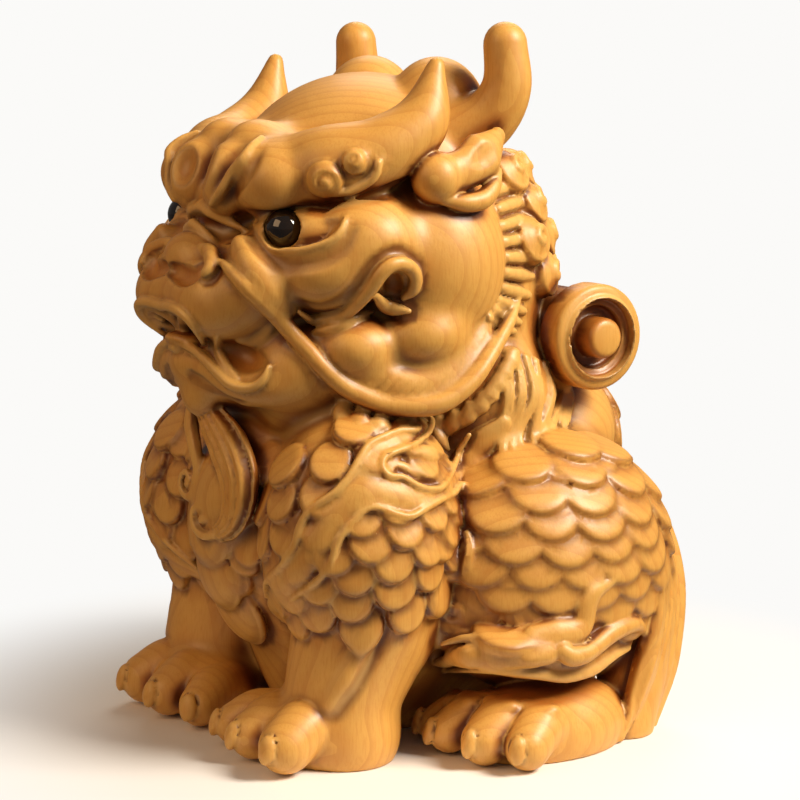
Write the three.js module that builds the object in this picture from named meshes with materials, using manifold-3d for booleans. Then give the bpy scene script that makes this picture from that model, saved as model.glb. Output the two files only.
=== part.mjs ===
// A carved boxwood qilin: a seated beast with a big head, short horns, whiskers, a beard and flames,
// and a rolled scroll across its back. It is one solid of wood, with two black beads inlaid for eyes.
// Millimetres, +Z up. The beast faces -Y, its left side is +X and it stands on Z = 0.
// Shapes are given in the carver's frame, whose Y = 0 runs through the shoulders, and the whole
// figure is then moved so that its origin is under the middle of its footprint.
import * as THREE from "three";
import { mergeVertices } from "three/addons/utils/BufferGeometryUtils.js";
import Module from "manifold-3d";

const wasm = await Module();
wasm.setup();

// Driving dimensions. Each rounded mass of the figure has its middle and its three half sizes.
const FOOTPRINT_MID_Y = 9.3;
const TRUNK = {
  chest: { at: [0, -3, 30], radii: [16, 15.5, 20] },
  belly: { at: [0, 6, 16], radii: [16.5, 18, 24] },
  barrel: { at: [0, 12, 30], radii: [19, 21, 22] },
  rump: { at: [0, 24.3, 20.5], radii: [20.5, 15, 23.5] },
  nape: { at: [0, 16, 46], radii: [17, 17, 18] },
  loin: { at: [0, 28, 37.5], radii: [18.5, 12.6, 11] },
};
const HEAD = {
  mane: { at: [0, 12.5, 59], radii: [20, 16.5, 20] },
  crown: { at: [0, 5, 67], radii: [19.5, 18.5, 18.5] },
  bridge: { at: [0, -12, 70.5], radii: [6.6, 7, 7.4] },
  snout: { at: [0, -14, 58.6], radii: [13, 11.6, 7.4] },
  jaw: { at: [0, -10, 49], radii: [13, 12.5, 7.5] },
};
const PAIRED = {
  shoulder: { at: [15.7, -5.5, 31.5], radii: [10.9, 12.4, 15.4] },
  thigh: { at: [19.8, 19.6, 22.6], radii: [13.2, 17.8, 17.4] },
  cheek: { at: [15.4, 3.4, 61.8], radii: [9.8, 11.6, 12] },
  underEye: { at: [15.6, -8.4, 62.2], radii: [7.2, 7.2, 5.8] },
  jawLobe: { at: [18.4, -0.6, 53.3], radii: [6, 7.6, 5.2] },
};
const KNOB = { at: [7.5, 11, 80], radii: [6.5, 6.5, 7.2] };
const SKIN = { axisY: 7, top: 85.6, around: 34, levels: 26, crowd: 0.35, blend: 0.9 };
const EYE = { at: [12.8, -14.45, 67], bead: 2.4, gap: 0.3 };
const SCROLL = { y: 27, z: 51.6, radius: 6.7, rim: 1.1, half: 22, recess: 1.6, knob: 2.3 };
const BROW = { width: 5.4, thick: 4.2 };
const HORN = { root: 4.1, tip: 2.5 };
const WHISKER = { root: 1.8, middle: 1.5, tip: 0.9 };
const FOREPAW = { toes: 3, spread: 6, toe: 3.4, at: [11, -15], heading: -14, reach: 7 };
const HINDPAW = { toes: 4, spread: 5.4, toe: 3.2, at: [26.3, 6.5], heading: 14, reach: 6.5 };
const MANE = { curls: 3, curl: 4.2, first: 50, step: 32, reachY: 15, reachZ: 17.5 };
const TAIL = { locks: 3, lock: 3.6 };
const PLATE = { count: 3, top: 31, drop: 7.4, width: 10 };
const GROUND_DEPTH = 40;
const BOTH_SIDES = [1, -1];

const WOOD = { color: 0xd89a45, roughness: 0.42, metalness: 0 };
const BEAD = { color: 0x17130d, roughness: 0.12, metalness: 0 };

// A closed three.js geometry becomes a solid that can be joined and cut.
function solid(geometry) {
  geometry.deleteAttribute("normal");
  geometry.deleteAttribute("uv");
  const merged = mergeVertices(geometry, 1e-4);
  const mesh = new wasm.Mesh({
    numProp: 3,
    vertProperties: new Float32Array(merged.attributes.position.array),
    triVerts: new Uint32Array(merged.index.array),
  });
  return new wasm.Manifold(mesh);
}

function join(solids) {
  return solids.reduce((whole, piece) => whole.add(piece));
}

function onBothSides(build) {
  return join(BOTH_SIDES.map(build));
}

// An egg-shaped lump with its own three half sizes. Turn is in degrees about X, Y and Z.
function lump(at, radii, { turn = [0, 0, 0], side = 1, around = 8, down = 6 } = {}) {
  const geometry = new THREE.SphereGeometry(1, around, down);
  geometry.rotateX(Math.PI / 2);
  geometry.scale(radii[0], radii[1], radii[2]);
  const [turnX, turnY, turnZ] = turn.map(THREE.MathUtils.degToRad);
  const euler = new THREE.Euler(turnX, turnY * side, turnZ * side, "ZYX");
  geometry.applyMatrix4(new THREE.Matrix4().makeRotationFromEuler(euler));
  geometry.translate(at[0] * side, at[1], at[2]);
  return solid(geometry);
}

// A round-ended lock of hair, limb or ribbon: a sphere's rings are strung along a smooth path.
// Sizes are half widths at even steps of the path, and flat is thickness over width.
function strand(path, sizes, { side = 1, flat = 1, up = [1, 0, 0], around = 6, rings = 7, blunt = 0.4 } = {}) {
  const points = path.map(([x, y, z]) => new THREE.Vector3(x * side, y, z));
  const curve = new THREE.CatmullRomCurve3(points, false, "centripetal");
  const upward = new THREE.Vector3(up[0] * side, up[1], up[2]);
  const geometry = new THREE.SphereGeometry(1, around, rings);
  const position = geometry.attributes.position;
  for (let i = 0; i < position.count; i += 1) {
    const down = (1 - THREE.MathUtils.clamp(position.getY(i), -1, 1)) / 2;
    const turn = Math.atan2(position.getZ(i), position.getX(i));
    const step = down * (sizes.length - 1);
    const from = Math.min(Math.floor(step), sizes.length - 2);
    const half = THREE.MathUtils.lerp(sizes[from], sizes[from + 1], step - from);
    const swell = half * (4 * down * (1 - down)) ** (blunt / 2);
    const tangent = curve.getTangent(down);
    const normal = upward.clone().addScaledVector(tangent, -upward.dot(tangent)).normalize();
    const across = new THREE.Vector3().crossVectors(tangent, normal);
    const point = curve.getPoint(down);
    point.addScaledVector(across, Math.cos(turn) * swell);
    point.addScaledVector(normal, -Math.sin(turn) * swell * flat);
    position.setXYZ(i, point.x, point.y, point.z);
  }
  return solid(geometry);
}

// How far a level ray from the body's axis goes before it leaves an egg-shaped mass.
function reachOf({ at, radii }, height, dirX, dirY) {
  const start = [-at[0] / radii[0], (SKIN.axisY - at[1]) / radii[1], (height - at[2]) / radii[2]];
  const way = [dirX / radii[0], dirY / radii[1]];
  const square = way[0] ** 2 + way[1] ** 2;
  const half = start[0] * way[0] + start[1] * way[1];
  const rest = half ** 2 - square * (start[0] ** 2 + start[1] ** 2 + start[2] ** 2 - 1);
  return rest > 0 ? Math.max(0, (Math.sqrt(rest) - half) / square) : 0;
}

// The trunk and head share one skin: each level is drawn out to the outermost mass, with soft joins.
function body() {
  const paired = Object.values(PAIRED);
  const mirrored = paired.map(({ at, radii }) => ({ at: [-at[0], at[1], at[2]], radii }));
  const masses = [...Object.values(TRUNK), ...Object.values(HEAD), ...paired, ...mirrored];
  const geometry = new THREE.SphereGeometry(1, SKIN.around, SKIN.levels);
  const position = geometry.attributes.position;
  for (let i = 0; i < position.count; i += 1) {
    const level = Math.acos(THREE.MathUtils.clamp(position.getY(i), -1, 1)) / Math.PI;
    const pole = level < 1e-6 || level > 1 - 1e-6;
    const drop = Math.min(1, (level * SKIN.levels) / (SKIN.levels - 1));
    const height = SKIN.top * (1 - drop ** 1.25);
    const even = Math.atan2(position.getX(i), position.getZ(i));
    const angle = even - SKIN.crowd * Math.sin(even);
    const dirX = Math.sin(angle);
    const dirY = -Math.cos(angle);
    const total = masses.reduce((sum, mass) => sum + Math.exp(SKIN.blend * reachOf(mass, height, dirX, dirY)) - 1, 1);
    const reach = pole ? 0 : Math.log(total) / SKIN.blend;
    position.setXYZ(i, dirX * reach, SKIN.axisY + dirY * reach, height);
  }
  return solid(geometry);
}

// Broad plates lap each other down the chest.
function breastPlates() {
  const plates = [];
  for (let row = 0; row < PLATE.count; row += 1) {
    const at = [0, -14 + 0.5 * row * row, PLATE.top - row * PLATE.drop];
    plates.push(lump(at, [PLATE.width - row * 0.8, 4.8, 6], { turn: [-24, 0, 0], down: 5 }));
  }
  return join(plates);
}

// Toes fan out from the front of a paw.
function toes({ toes: count, spread, toe, at, heading, reach }, side) {
  const turned = THREE.MathUtils.degToRad(heading);
  const pieces = [];
  for (let i = 0; i < count; i += 1) {
    const along = i - (count - 1) / 2;
    const curl = reach * (1 - 0.09 * along * along);
    const place = (fan, forward, height) => [
      at[0] + along * spread * fan * Math.cos(turned) + Math.sin(turned) * forward,
      at[1] + along * spread * fan * Math.sin(turned) - Math.cos(turned) * forward,
      height,
    ];
    const path = [place(0.5, -reach, 4.4), place(0.95, curl * 0.1, 4.6), place(1, curl * 0.8, 2.4)];
    pieces.push(strand(path, [toe * 0.9, toe * 1.1, toe * 0.9], { side, rings: 4, up: [0, 0, 1] }));
  }
  return join(pieces);
}

function forelegs() {
  return onBothSides((side) => {
    const path = [[16.5, -5.5, 36], [16, -5.5, 20], [16, -7.6, 10], [16, -8.2, -8]];
    const leg = strand(path, [9, 10, 7.8, 7.4, 7.6], { side, around: 10, rings: 5 });
    const heel = lump([16.4, -8, 2], [7.1, 6.6, 5.5], { side });
    return join([leg, heel, toes(FOREPAW, side)]);
  });
}

function hindFeet() {
  return onBothSides((side) => {
    const hock = strand([[24, 2, 12], [29, 14, 11], [29, 25, 13]], [3, 4.5, 3], { side, rings: 5 });
    const foot = lump([26.3, 15.5, 4.2], [8, 12, 7], { side, turn: [0, 0, 4], around: 10 });
    return join([hock, foot, toes(HINDPAW, side)]);
  });
}

// The lips are rolled bands round an open mouth, under a broad nose with flared wings.
function muzzle() {
  const relief = onBothSides((side) => {
    const pad = lump([5.4, -18.8, 57.8], [6.4, 6.4, 5.2], { side });
    const wing = lump([3.4, -20.4, 62.2], [3.4, 3, 2.8], { side, around: 6, down: 4 });
    const throat = lump([8, -9, 45], [6.2, 6.2, 4.8], { side });
    const upper = [[0, -24.4, 56], [5, -23.2, 54.4], [10, -19.6, 52.6], [13.4, -16, 53]];
    const lower = [[0, -22, 50], [5, -21, 49.6], [9.5, -18.8, 47.6], [12.8, -15.6, 48]];
    const upperLip = strand(upper, [1.2, 1.6, 1.5, 1], { side, around: 5, rings: 5 });
    const lowerLip = strand(lower, [1.3, 1.5, 1.4, 1], { side, around: 5, rings: 5 });
    return join([pad, wing, throat, upperLip, lowerLip]);
  });
  return relief;
}

function mouth() {
  return lump([0, -22, 52.4], [5.6, 6, 1.9]);
}

// Each brow is a broad flame that sweeps back over the eye and turns up to a point.
function brows() {
  return onBothSides((side) => {
    const front = lump([9.4, -12.5, 72.4], [6.8, 6.6, 6.4], { side });
    const path = [[9.5, -12, 73], [14.5, -7.6, 75], [18.6, -0.6, 77.5], [19.4, 3.6, 81.5], [19.6, 3.4, 87]];
    const sizes = [BROW.width, BROW.width * 1.1, BROW.width, BROW.width * 0.7, 0.8];
    const sweep = strand(path, sizes, { side, flat: BROW.thick / BROW.width, up: [1, -0.4, 0.35], rings: 8 });
    return join([front, sweep]);
  });
}

function crest() {
  const petals = onBothSides((side) => {
    const path = [[3.5, -11, 80], [4.4, -17, 75], [4.2, -17.6, 68.5]];
    return strand(path, [2.4, 3.2, 1.6], { side, up: [0, -1, 0], flat: 0.6, around: 5, rings: 5 });
  });
  const knobs = onBothSides((side) => lump(KNOB.at, KNOB.radii, { side }));
  return join([petals, knobs, lump([0, -10, 79.4], [4, 4, 4.2], { around: 6, down: 5 })]);
}

function horns() {
  const path = [[10, 12, 76], [15.5, 14.6, 80], [17.6, 15.6, 85], [17.6, 14.9, 92]];
  const sizes = [HORN.root, HORN.root * 0.85, HORN.root * 0.72, HORN.tip];
  return onBothSides((side) => strand(path, sizes, { side, up: [0, 1, 0] }));
}

// A curled leaf of an ear: a round bulb in front, with its stalk running up behind.
function ears() {
  return onBothSides((side) => {
    const bulb = lump([22, 1.8, 72.6], [3, 3.6, 3.8], { side });
    const path = [[22.2, 2.6, 72.8], [22.4, 6, 73.4], [21.8, 9, 75.6], [20.6, 11.8, 79]];
    return bulb.add(strand(path, [3, 3.6, 3, 1], { side, flat: 0.7, rings: 6 }));
  });
}

// The whisker leaves the nose, dips under the cheek and rises to the edge of the mane.
function whiskers() {
  return onBothSides((side) => {
    const path = [
      [9, -20, 61.5], [13.4, -17.4, 56.5], [18.6, -10.8, 49.6], [21.8, -3.6, 45.8], [23.4, 3.4, 46],
      [22.8, 9, 49], [21.4, 13.5, 54],
    ];
    const { root, middle, tip } = WHISKER;
    return strand(path, [root, root * 0.9, middle, middle, middle, tip, tip], { side, around: 5, rings: 9 });
  });
}

// Round curls of the mane sit in an arch on its rear edge.
function maneCurls() {
  const { curls, curl, first, step, reachY, reachZ } = MANE;
  const [, middleY, middleZ] = HEAD.mane.at;
  return onBothSides((side) => {
    const pieces = [];
    for (let i = 0; i < curls; i += 1) {
      const angle = THREE.MathUtils.degToRad(first - i * step);
      const at = [9 + (i % 2) * 3, middleY + reachY * Math.cos(angle), middleZ + reachZ * Math.sin(angle)];
      pieces.push(lump(at, [curl, curl * 0.8, curl], { side, around: 7, down: 5 }));
    }
    return join(pieces);
  });
}

// Locks of the beard fall from the chin on to the chest and roll up at their ends.
function beard() {
  const nearPath = [[1, -20, 46], [4.2, -20.8, 40], [7.6, -20.4, 34], [5, -21, 28.6], [1.6, -21.8, 29.6], [1.8, -22.2, 32]];
  const farPath = [[-0.5, -20, 46], [-1.6, -21.2, 40], [-1, -22, 35], [-3, -22, 32.6], [-4, -21.8, 35]];
  const near = strand(nearPath, [2, 3, 3.4, 2.6, 1.6, 1], { up: [0, -1, 0], flat: 0.8, around: 5, rings: 9 });
  const far = strand(farPath, [1.8, 2.2, 2.2, 1.4, 0.9], { up: [0, -1, 0], flat: 0.8, around: 5, rings: 7 });
  return near.add(far);
}

// The scroll is a roll across the back with a rim, a recess and a knob at each end.
function scroll() {
  const { radius, rim, half, recess, knob } = SCROLL;
  const end = [
    [0, half + 0.4], [knob * 0.8, half], [knob, half - recess], [radius - 2.6, half - recess],
    [radius - 2.2, half - 0.3], [radius - rim, half], [radius, half - rim], [radius - 0.5, half - 2.4],
  ];
  const profile = [...end.map(([r, z]) => [r, -z]), ...end.reverse()];
  const geometry = new THREE.LatheGeometry(profile.map(([r, z]) => new THREE.Vector2(r, z)), 14);
  geometry.rotateZ(-Math.PI / 2);
  geometry.translate(0, SCROLL.y, SCROLL.z);
  return solid(geometry);
}

// The tail parts at the rump and its locks hang down behind both haunches.
function tail() {
  return onBothSides((side) => {
    const pieces = [];
    for (let i = 0; i < TAIL.locks; i += 1) {
      const out = i / (TAIL.locks - 1);
      const path = [
        [3 + 6 * out, 36.5, 38 - 3 * out], [10 + 10 * out, 40 - 1.5 * out, 30],
        [13 + 13.5 * out, 40 - 4.5 * out, 19], [15 + 14.5 * out, 37 - 6 * out, 8], [16 + 14.5 * out, 34 - 6.5 * out, -1],
      ];
      pieces.push(strand(path, [1.5, TAIL.lock, TAIL.lock * 1.15, TAIL.lock, TAIL.lock * 0.8], { side, around: 5, rings: 6 }));
    }
    return join(pieces);
  });
}

// A flame ribbon crosses each shoulder.
function shoulderFlames() {
  const path = [[20, 10, 45], [26, 1.5, 38], [24.6, -9, 34], [20.6, -16, 27], [17, -17.6, 20], [17.4, -15.4, 15]];
  const sizes = [1.6, 3.6, 3.4, 2.4, 1.8, 0.8];
  return onBothSides((side) => strand(path, sizes, { side, flat: 0.42, up: [1, -0.8, 0], around: 5, rings: 8 }));
}

function eyeBall(radius, side) {
  return lump(EYE.at, [radius, radius, radius], { side, around: 9, down: 6 });
}

function below() {
  const geometry = new THREE.BoxGeometry(200, 200, GROUND_DEPTH);
  geometry.translate(0, 0, -GROUND_DEPTH / 2);
  return solid(geometry);
}

// The block is solid right through, so only the outer shell counts.
function outerShell(manifold) {
  return manifold.decompose().reduce((best, shell) => (shell.volume() > best.volume() ? shell : best));
}

function node(name, manifold, finish) {
  const { vertProperties, triVerts } = manifold.getMesh();
  const geometry = new THREE.BufferGeometry();
  geometry.setAttribute("position", new THREE.BufferAttribute(vertProperties, 3));
  geometry.setIndex(new THREE.BufferAttribute(triVerts, 1));
  geometry.computeVertexNormals();
  const mesh = new THREE.Mesh(geometry, new THREE.MeshStandardMaterial(finish));
  mesh.name = name;
  return mesh;
}

const masses = join([
  body(), breastPlates(), forelegs(), hindFeet(), muzzle(), brows(), crest(), horns(), ears(), whiskers(),
  maneCurls(), beard(), scroll(), tail(), shoulderFlames(),
]);
const sockets = onBothSides((side) => eyeBall(EYE.bead + EYE.gap, side));
const carving = outerShell(masses.subtract(join([below(), sockets, mouth()])));

const qilin = new THREE.Group();
qilin.add(node("carved_qilin", carving, WOOD));
qilin.add(node("eye_left", eyeBall(EYE.bead, 1), BEAD));
qilin.add(node("eye_right", eyeBall(EYE.bead, -1), BEAD));
qilin.position.y = -FOOTPRINT_MID_Y;

export default qilin;
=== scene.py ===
"""The looks of the carved boxwood qilin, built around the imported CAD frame.

The figure is one block of wood. Its blended masses, lapped scales, locks and grooves run into each
other as a carver cuts them, which no chain of mesh operators joins cleanly, so the block is held as a
grid of distances to its surface: every sub-assembly adds or gouges its own forms there, and the
surface is drawn out as one closed mesh at the end.

Lengths in the classes are millimetres in the carver's frame, where Y = 0 runs through the shoulders,
+X is the beast's left side, it looks along -Y and it stands on Z = 0.
"""

from __future__ import annotations

import logging
import math
from dataclasses import dataclass
from enum import Enum

import bmesh
import bpy
import numpy as np
import openvdb
from mathutils import Matrix, Vector

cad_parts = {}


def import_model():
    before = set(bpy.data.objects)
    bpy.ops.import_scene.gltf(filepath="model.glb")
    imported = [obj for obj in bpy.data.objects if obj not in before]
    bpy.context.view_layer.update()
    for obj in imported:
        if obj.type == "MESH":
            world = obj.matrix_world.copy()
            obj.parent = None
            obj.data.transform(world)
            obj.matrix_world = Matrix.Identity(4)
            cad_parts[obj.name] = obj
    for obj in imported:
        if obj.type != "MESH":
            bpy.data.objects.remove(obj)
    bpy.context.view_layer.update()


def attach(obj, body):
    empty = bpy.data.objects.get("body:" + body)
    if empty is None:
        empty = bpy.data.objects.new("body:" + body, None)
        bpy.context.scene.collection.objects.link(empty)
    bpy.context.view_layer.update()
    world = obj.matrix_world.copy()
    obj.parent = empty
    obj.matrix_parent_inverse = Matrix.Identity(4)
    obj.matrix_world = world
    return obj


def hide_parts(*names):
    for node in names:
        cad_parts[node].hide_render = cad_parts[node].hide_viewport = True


LOG = logging.getLogger("qilin")
Point = tuple[float, float, float]
PixelPath = tuple[tuple[float, float], ...]

MM = 0.001
FOOTPRINT_MID_Y = 9.3
FAR = 6.0
CLAW_DROOP = -14


class Sides(Enum):
    """Which sides of the beast a form is cut on."""

    BOTH = "both"
    LEFT = "left"
    MIDDLE = "middle"

    @property
    def signs(self) -> tuple[int, ...]:
        """The X signs of the sides."""
        return (1, -1) if self is Sides.BOTH else (1,)


class Cut(Enum):
    """Whether a form is left standing or gouged away."""

    RAISE = 1
    GOUGE = -1


def turned(turn: Point) -> np.ndarray:
    """Makes the rotation of a turn in degrees about X, then Y, then Z.

    Args:
        turn: degrees about each axis.

    Returns:
        A 3 by 3 matrix.
    """
    (cx, cy, cz), (sx, sy, sz) = np.cos(np.radians(turn)), np.sin(np.radians(turn))
    about_x = np.array([[1, 0, 0], [0, cx, -sx], [0, sx, cx]])
    about_y = np.array([[cy, 0, sy], [0, 1, 0], [-sy, 0, cy]])
    about_z = np.array([[cz, -sz, 0], [sz, cz, 0], [0, 0, 1]])
    return about_z @ about_y @ about_x


def smooth_path(points: np.ndarray, count: int) -> np.ndarray:
    """Runs a Catmull-Rom curve through points.

    Args:
        points: the places that the curve passes, one row each.
        count: how many places to give back.

    Returns:
        The places along the curve, one row each.
    """
    points = np.asarray(points, float)
    ends = np.vstack([2 * points[:1] - points[1:2], points, 2 * points[-1:] - points[-2:-1]])
    share = np.linspace(0, len(points) - 1, count)
    start = np.minimum(share.astype(int), len(points) - 2)
    u = (share - start)[:, None]
    before, here, there, after = (ends[start + k] for k in range(4))
    bend = 2 * before - 5 * here + 4 * there - after
    twist = 3 * (here - there) + after - before
    return 0.5 * (2 * here + (there - before) * u + bend * u**2 + twist * u**3)


def blended(one: np.ndarray, other: np.ndarray, soft: float) -> np.ndarray:
    """Joins two distance fields with a fillet.

    Args:
        one: the first field.
        other: the second field.
        soft: how far the fillet reaches, in millimetres.

    Returns:
        The field of both together.
    """
    if soft <= 0:
        return np.minimum(one, other)
    share = np.clip(0.5 + 0.5 * (other - one) / soft, 0, 1)
    return other + (one - other) * share - soft * share * (1 - share)


def margin(half: float) -> float:
    """Works out how far beyond a strand its distances are kept, from its half width."""
    return min(3.0, 0.3 * half + 0.9)


def unit(rows: np.ndarray) -> np.ndarray:
    """Scales each row to length one."""
    return rows / np.maximum(np.linalg.norm(rows, axis=-1, keepdims=True), 1e-9)


@dataclass(frozen=True)
class PhotographView:
    """Where the photograph was taken from: its aim, angles and distance, and its frame in pixels."""

    aim: Point = (16.4, 0.0, 45.0)
    azimuth: float = 57.0
    elevation: float = 9.0
    distance: float = 300.0
    field_of_view: float = 19.0
    frame: int = 800

    def axes(self) -> tuple[np.ndarray, np.ndarray, np.ndarray]:
        """Works out the view's right, up and backward ways."""
        turn, rise = math.radians(self.azimuth), math.radians(self.elevation)
        back = np.array([math.sin(turn) * math.cos(rise), -math.cos(turn) * math.cos(rise), math.sin(rise)])
        right = np.array([math.cos(turn), math.sin(turn), 0])
        return right, np.cross(back, right), back

    def eye(self) -> np.ndarray:
        """Works out the place that the photograph was taken from."""
        return np.array(self.aim) + self.distance * self.axes()[2]

    def rays(self, pixels: np.ndarray) -> np.ndarray:
        """Works out the ways from the eye through pixels.

        Args:
            pixels: one row of two for each pixel, from the frame's upper left corner.

        Returns:
            One unit row for each pixel.
        """
        right, up, back = self.axes()
        scale = 2 * math.tan(math.radians(self.field_of_view / 2)) / self.frame
        across, down = ((pixels[:, k] - self.frame / 2)[:, None] * scale for k in range(2))
        return unit(across * right - down * up - back)


@dataclass(frozen=True)
class Mass:
    """An egg-shaped form: its middle, half sizes, turn in degrees and fillet."""

    at: Point
    half: Point
    turn: Point = (0.0, 0.0, 0.0)
    soft: float = 2.0


@dataclass(frozen=True)
class Strand:
    """A form along a path: its places, half widths, flatness, facing, fillet and flutes.

    A path of two numbers a place is given in pixels of the photograph, and is laid on the wood that
    shows there. Where rise is given, the places are first moved to that height over the smooth surface,
    and where up is left out a flat strand faces straight out of the wood.
    """

    path: tuple[tuple[float, ...], ...]
    sizes: tuple[float, ...]
    flat: float = 1.0
    up: Point | None = None
    soft: float = 0.4
    rise: float | None = None
    flutes: float = 0.0
    groove: float = 0.0


@dataclass(frozen=True)
class Volute:
    """A snail curl: its middle, outer radius, turns, hand, first angle, thickness and domed height."""

    at: Point
    radius: float
    turns: float = 1.5
    hand: int = 1
    first: float = 0.0
    size: float = 0.6
    dome: float = 0.6


class CarvingBlock:
    """A block of wood as a grid of distances to the carved surface, negative inside."""

    def __init__(self, low: Point, high: Point, cell: float) -> None:
        """Lays out the grid.

        Args:
            low: the lowest corner.
            high: the highest corner.
            cell: the grid's spacing.
        """
        self.low = np.array(low, float)
        self.cell = cell
        self.count = np.ceil((np.array(high) - self.low) / cell).astype(int) + 1
        self.field = np.full(self.count, FAR, np.float32)
        self.smooth = self.field

    def window(self, low: np.ndarray, high: np.ndarray) -> tuple[tuple[slice, ...], list[np.ndarray]]:
        """Finds the cells in a box.

        Args:
            low: the box's lowest corner.
            high: the box's highest corner.

        Returns:
            The slices of the grid, and its X, Y and Z values shaped to broadcast.
        """
        first = np.clip(np.floor((low - self.low) / self.cell).astype(int), 0, self.count)
        last = np.clip(np.ceil((high - self.low) / self.cell).astype(int) + 1, 0, self.count)
        axes = [(self.low[k] + self.cell * np.arange(first[k], last[k])).astype(np.float32) for k in range(3)]
        shaped = [axes[0][:, None, None], axes[1][None, :, None], axes[2][None, None, :]]
        return tuple(slice(a, b) for a, b in zip(first, last)), shaped

    def remember(self) -> None:
        """Keeps the surface as it is now, for later forms to be laid on."""
        self.smooth = self.field.copy()

    def distance(self, places: np.ndarray, field: np.ndarray | None = None) -> np.ndarray:
        """Reads the remembered surface's field, or another, between its cells.

        Args:
            places: one row for each place.
            field: the field to read.

        Returns:
            The distance to the surface at each place.
        """
        field = self.smooth if field is None else field
        at = (np.atleast_2d(places) - self.low) / self.cell
        first = np.clip(np.floor(at).astype(int), 0, self.count - 2)
        share = np.clip(at - first, 0, 1)
        total = np.zeros(len(at))
        for corner in np.ndindex(2, 2, 2):
            weight = np.prod(np.where(corner, share, 1 - share), axis=1)
            total += weight * field[tuple((first + corner).T)]
        return total

    def outward(self, places: np.ndarray) -> np.ndarray:
        """Finds the way straight out of the wood.

        Args:
            places: one row for each place.

        Returns:
            One unit row for each place.
        """
        steps = np.eye(3) * 1.5 * self.cell
        return unit(np.stack([self.distance(places + s) - self.distance(places - s) for s in steps], -1))

    def settled(self, places: np.ndarray, rise: float = 0.0) -> np.ndarray:
        """Moves places on to the remembered surface.

        Args:
            places: one row for each place, near the surface.
            rise: how far above the surface they end.

        Returns:
            The moved places.
        """
        moved = np.array(np.atleast_2d(places), float)
        for _ in range(8):
            gap = np.clip(self.distance(moved) - rise, -1.5, 1.5)
            moved -= 0.7 * gap[:, None] * self.outward(moved)
        return moved

    def struck(self, starts: np.ndarray, aim: np.ndarray, reach: float) -> tuple[np.ndarray, np.ndarray]:
        """Moves from outside towards a place until the wood is met.

        Args:
            starts: one row for each start.
            aim: the place that all move towards.
            reach: how far each may go.

        Returns:
            Where each one stopped, and whether it met wood.
        """
        ways = unit(aim - starts)
        moved = starts.copy()
        for _ in range(int(reach / 0.4)):
            gap = self.distance(moved)
            moved += ways * np.clip(gap, 0, 0.4)[:, None]
        return moved, np.abs(self.distance(moved)) < 0.3

    def sighted(self, pixels: np.ndarray) -> np.ndarray:
        """Finds the wood that the photograph shows at pixels.

        Args:
            pixels: one row of two for each pixel.

        Returns:
            The places on the remembered surface.
        """
        view = PhotographView()
        ways = view.rays(pixels)
        places = view.eye() + ways * 0.75 * view.distance
        for _ in range(150):
            places += ways * np.clip(0.6 * self.distance(places), -0.3, 2.0)[:, None]
        return places

    def merge(self, where: tuple[slice, ...], form: np.ndarray, soft: float, cut: Cut) -> None:
        """Adds a form to the wood, or gouges it out.

        Args:
            where: the window of the grid.
            form: the form's distances there.
            soft: the fillet's reach.
            cut: raise or gouge.
        """
        if form.size:
            here = self.field[where]
            self.field[where] = cut.value * blended(cut.value * here, form.astype(np.float32), soft)

    def egg(self, at: np.ndarray, half: Point, spin: np.ndarray, soft: float, side: int, cut: Cut,
            brow: float = 2.0) -> None:
        """Cuts an egg-shaped form, or one with a flatter face and steeper edges, on one side.

        Args:
            at: its middle, on the left side.
            half: its three half sizes, the thickness last.
            spin: its rotation.
            soft: the fillet's reach.
            side: the X sign of the side.
            cut: raise or gouge.
            brow: the power that rounds it, 2 for an egg and more for a plate.
        """
        reach = np.sqrt(((spin * half) ** 2).sum(1)) + min(5.0, 0.4 * max(half) + 1.0) + soft
        middle = np.array(at, float) * (side, 1, 1)
        where, (x, y, z) = self.window(middle - reach, middle + reach)
        gap = ((x - middle[0]) * side, y - middle[1], z - middle[2])
        local = [sum(float(spin[k, axis]) * gap[k] for k in range(3)) for axis in range(3)]
        wide = np.sqrt((local[0] / half[0]) ** 2 + (local[1] / half[1]) ** 2) + 1e-6
        high = np.abs(local[2]) / half[2] + 1e-6
        near = (wide**brow + high**brow) ** (1 / brow)
        steep = np.sqrt((local[0] / half[0] ** 2) ** 2 + (local[1] / half[1] ** 2) ** 2) / wide
        slope = np.sqrt((wide ** (brow - 1) * steep) ** 2 + (high ** (brow - 1) / half[2]) ** 2)
        self.merge(where, (near - 1) * near ** (brow - 1) / np.maximum(slope, 1e-6), soft, cut)

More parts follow.
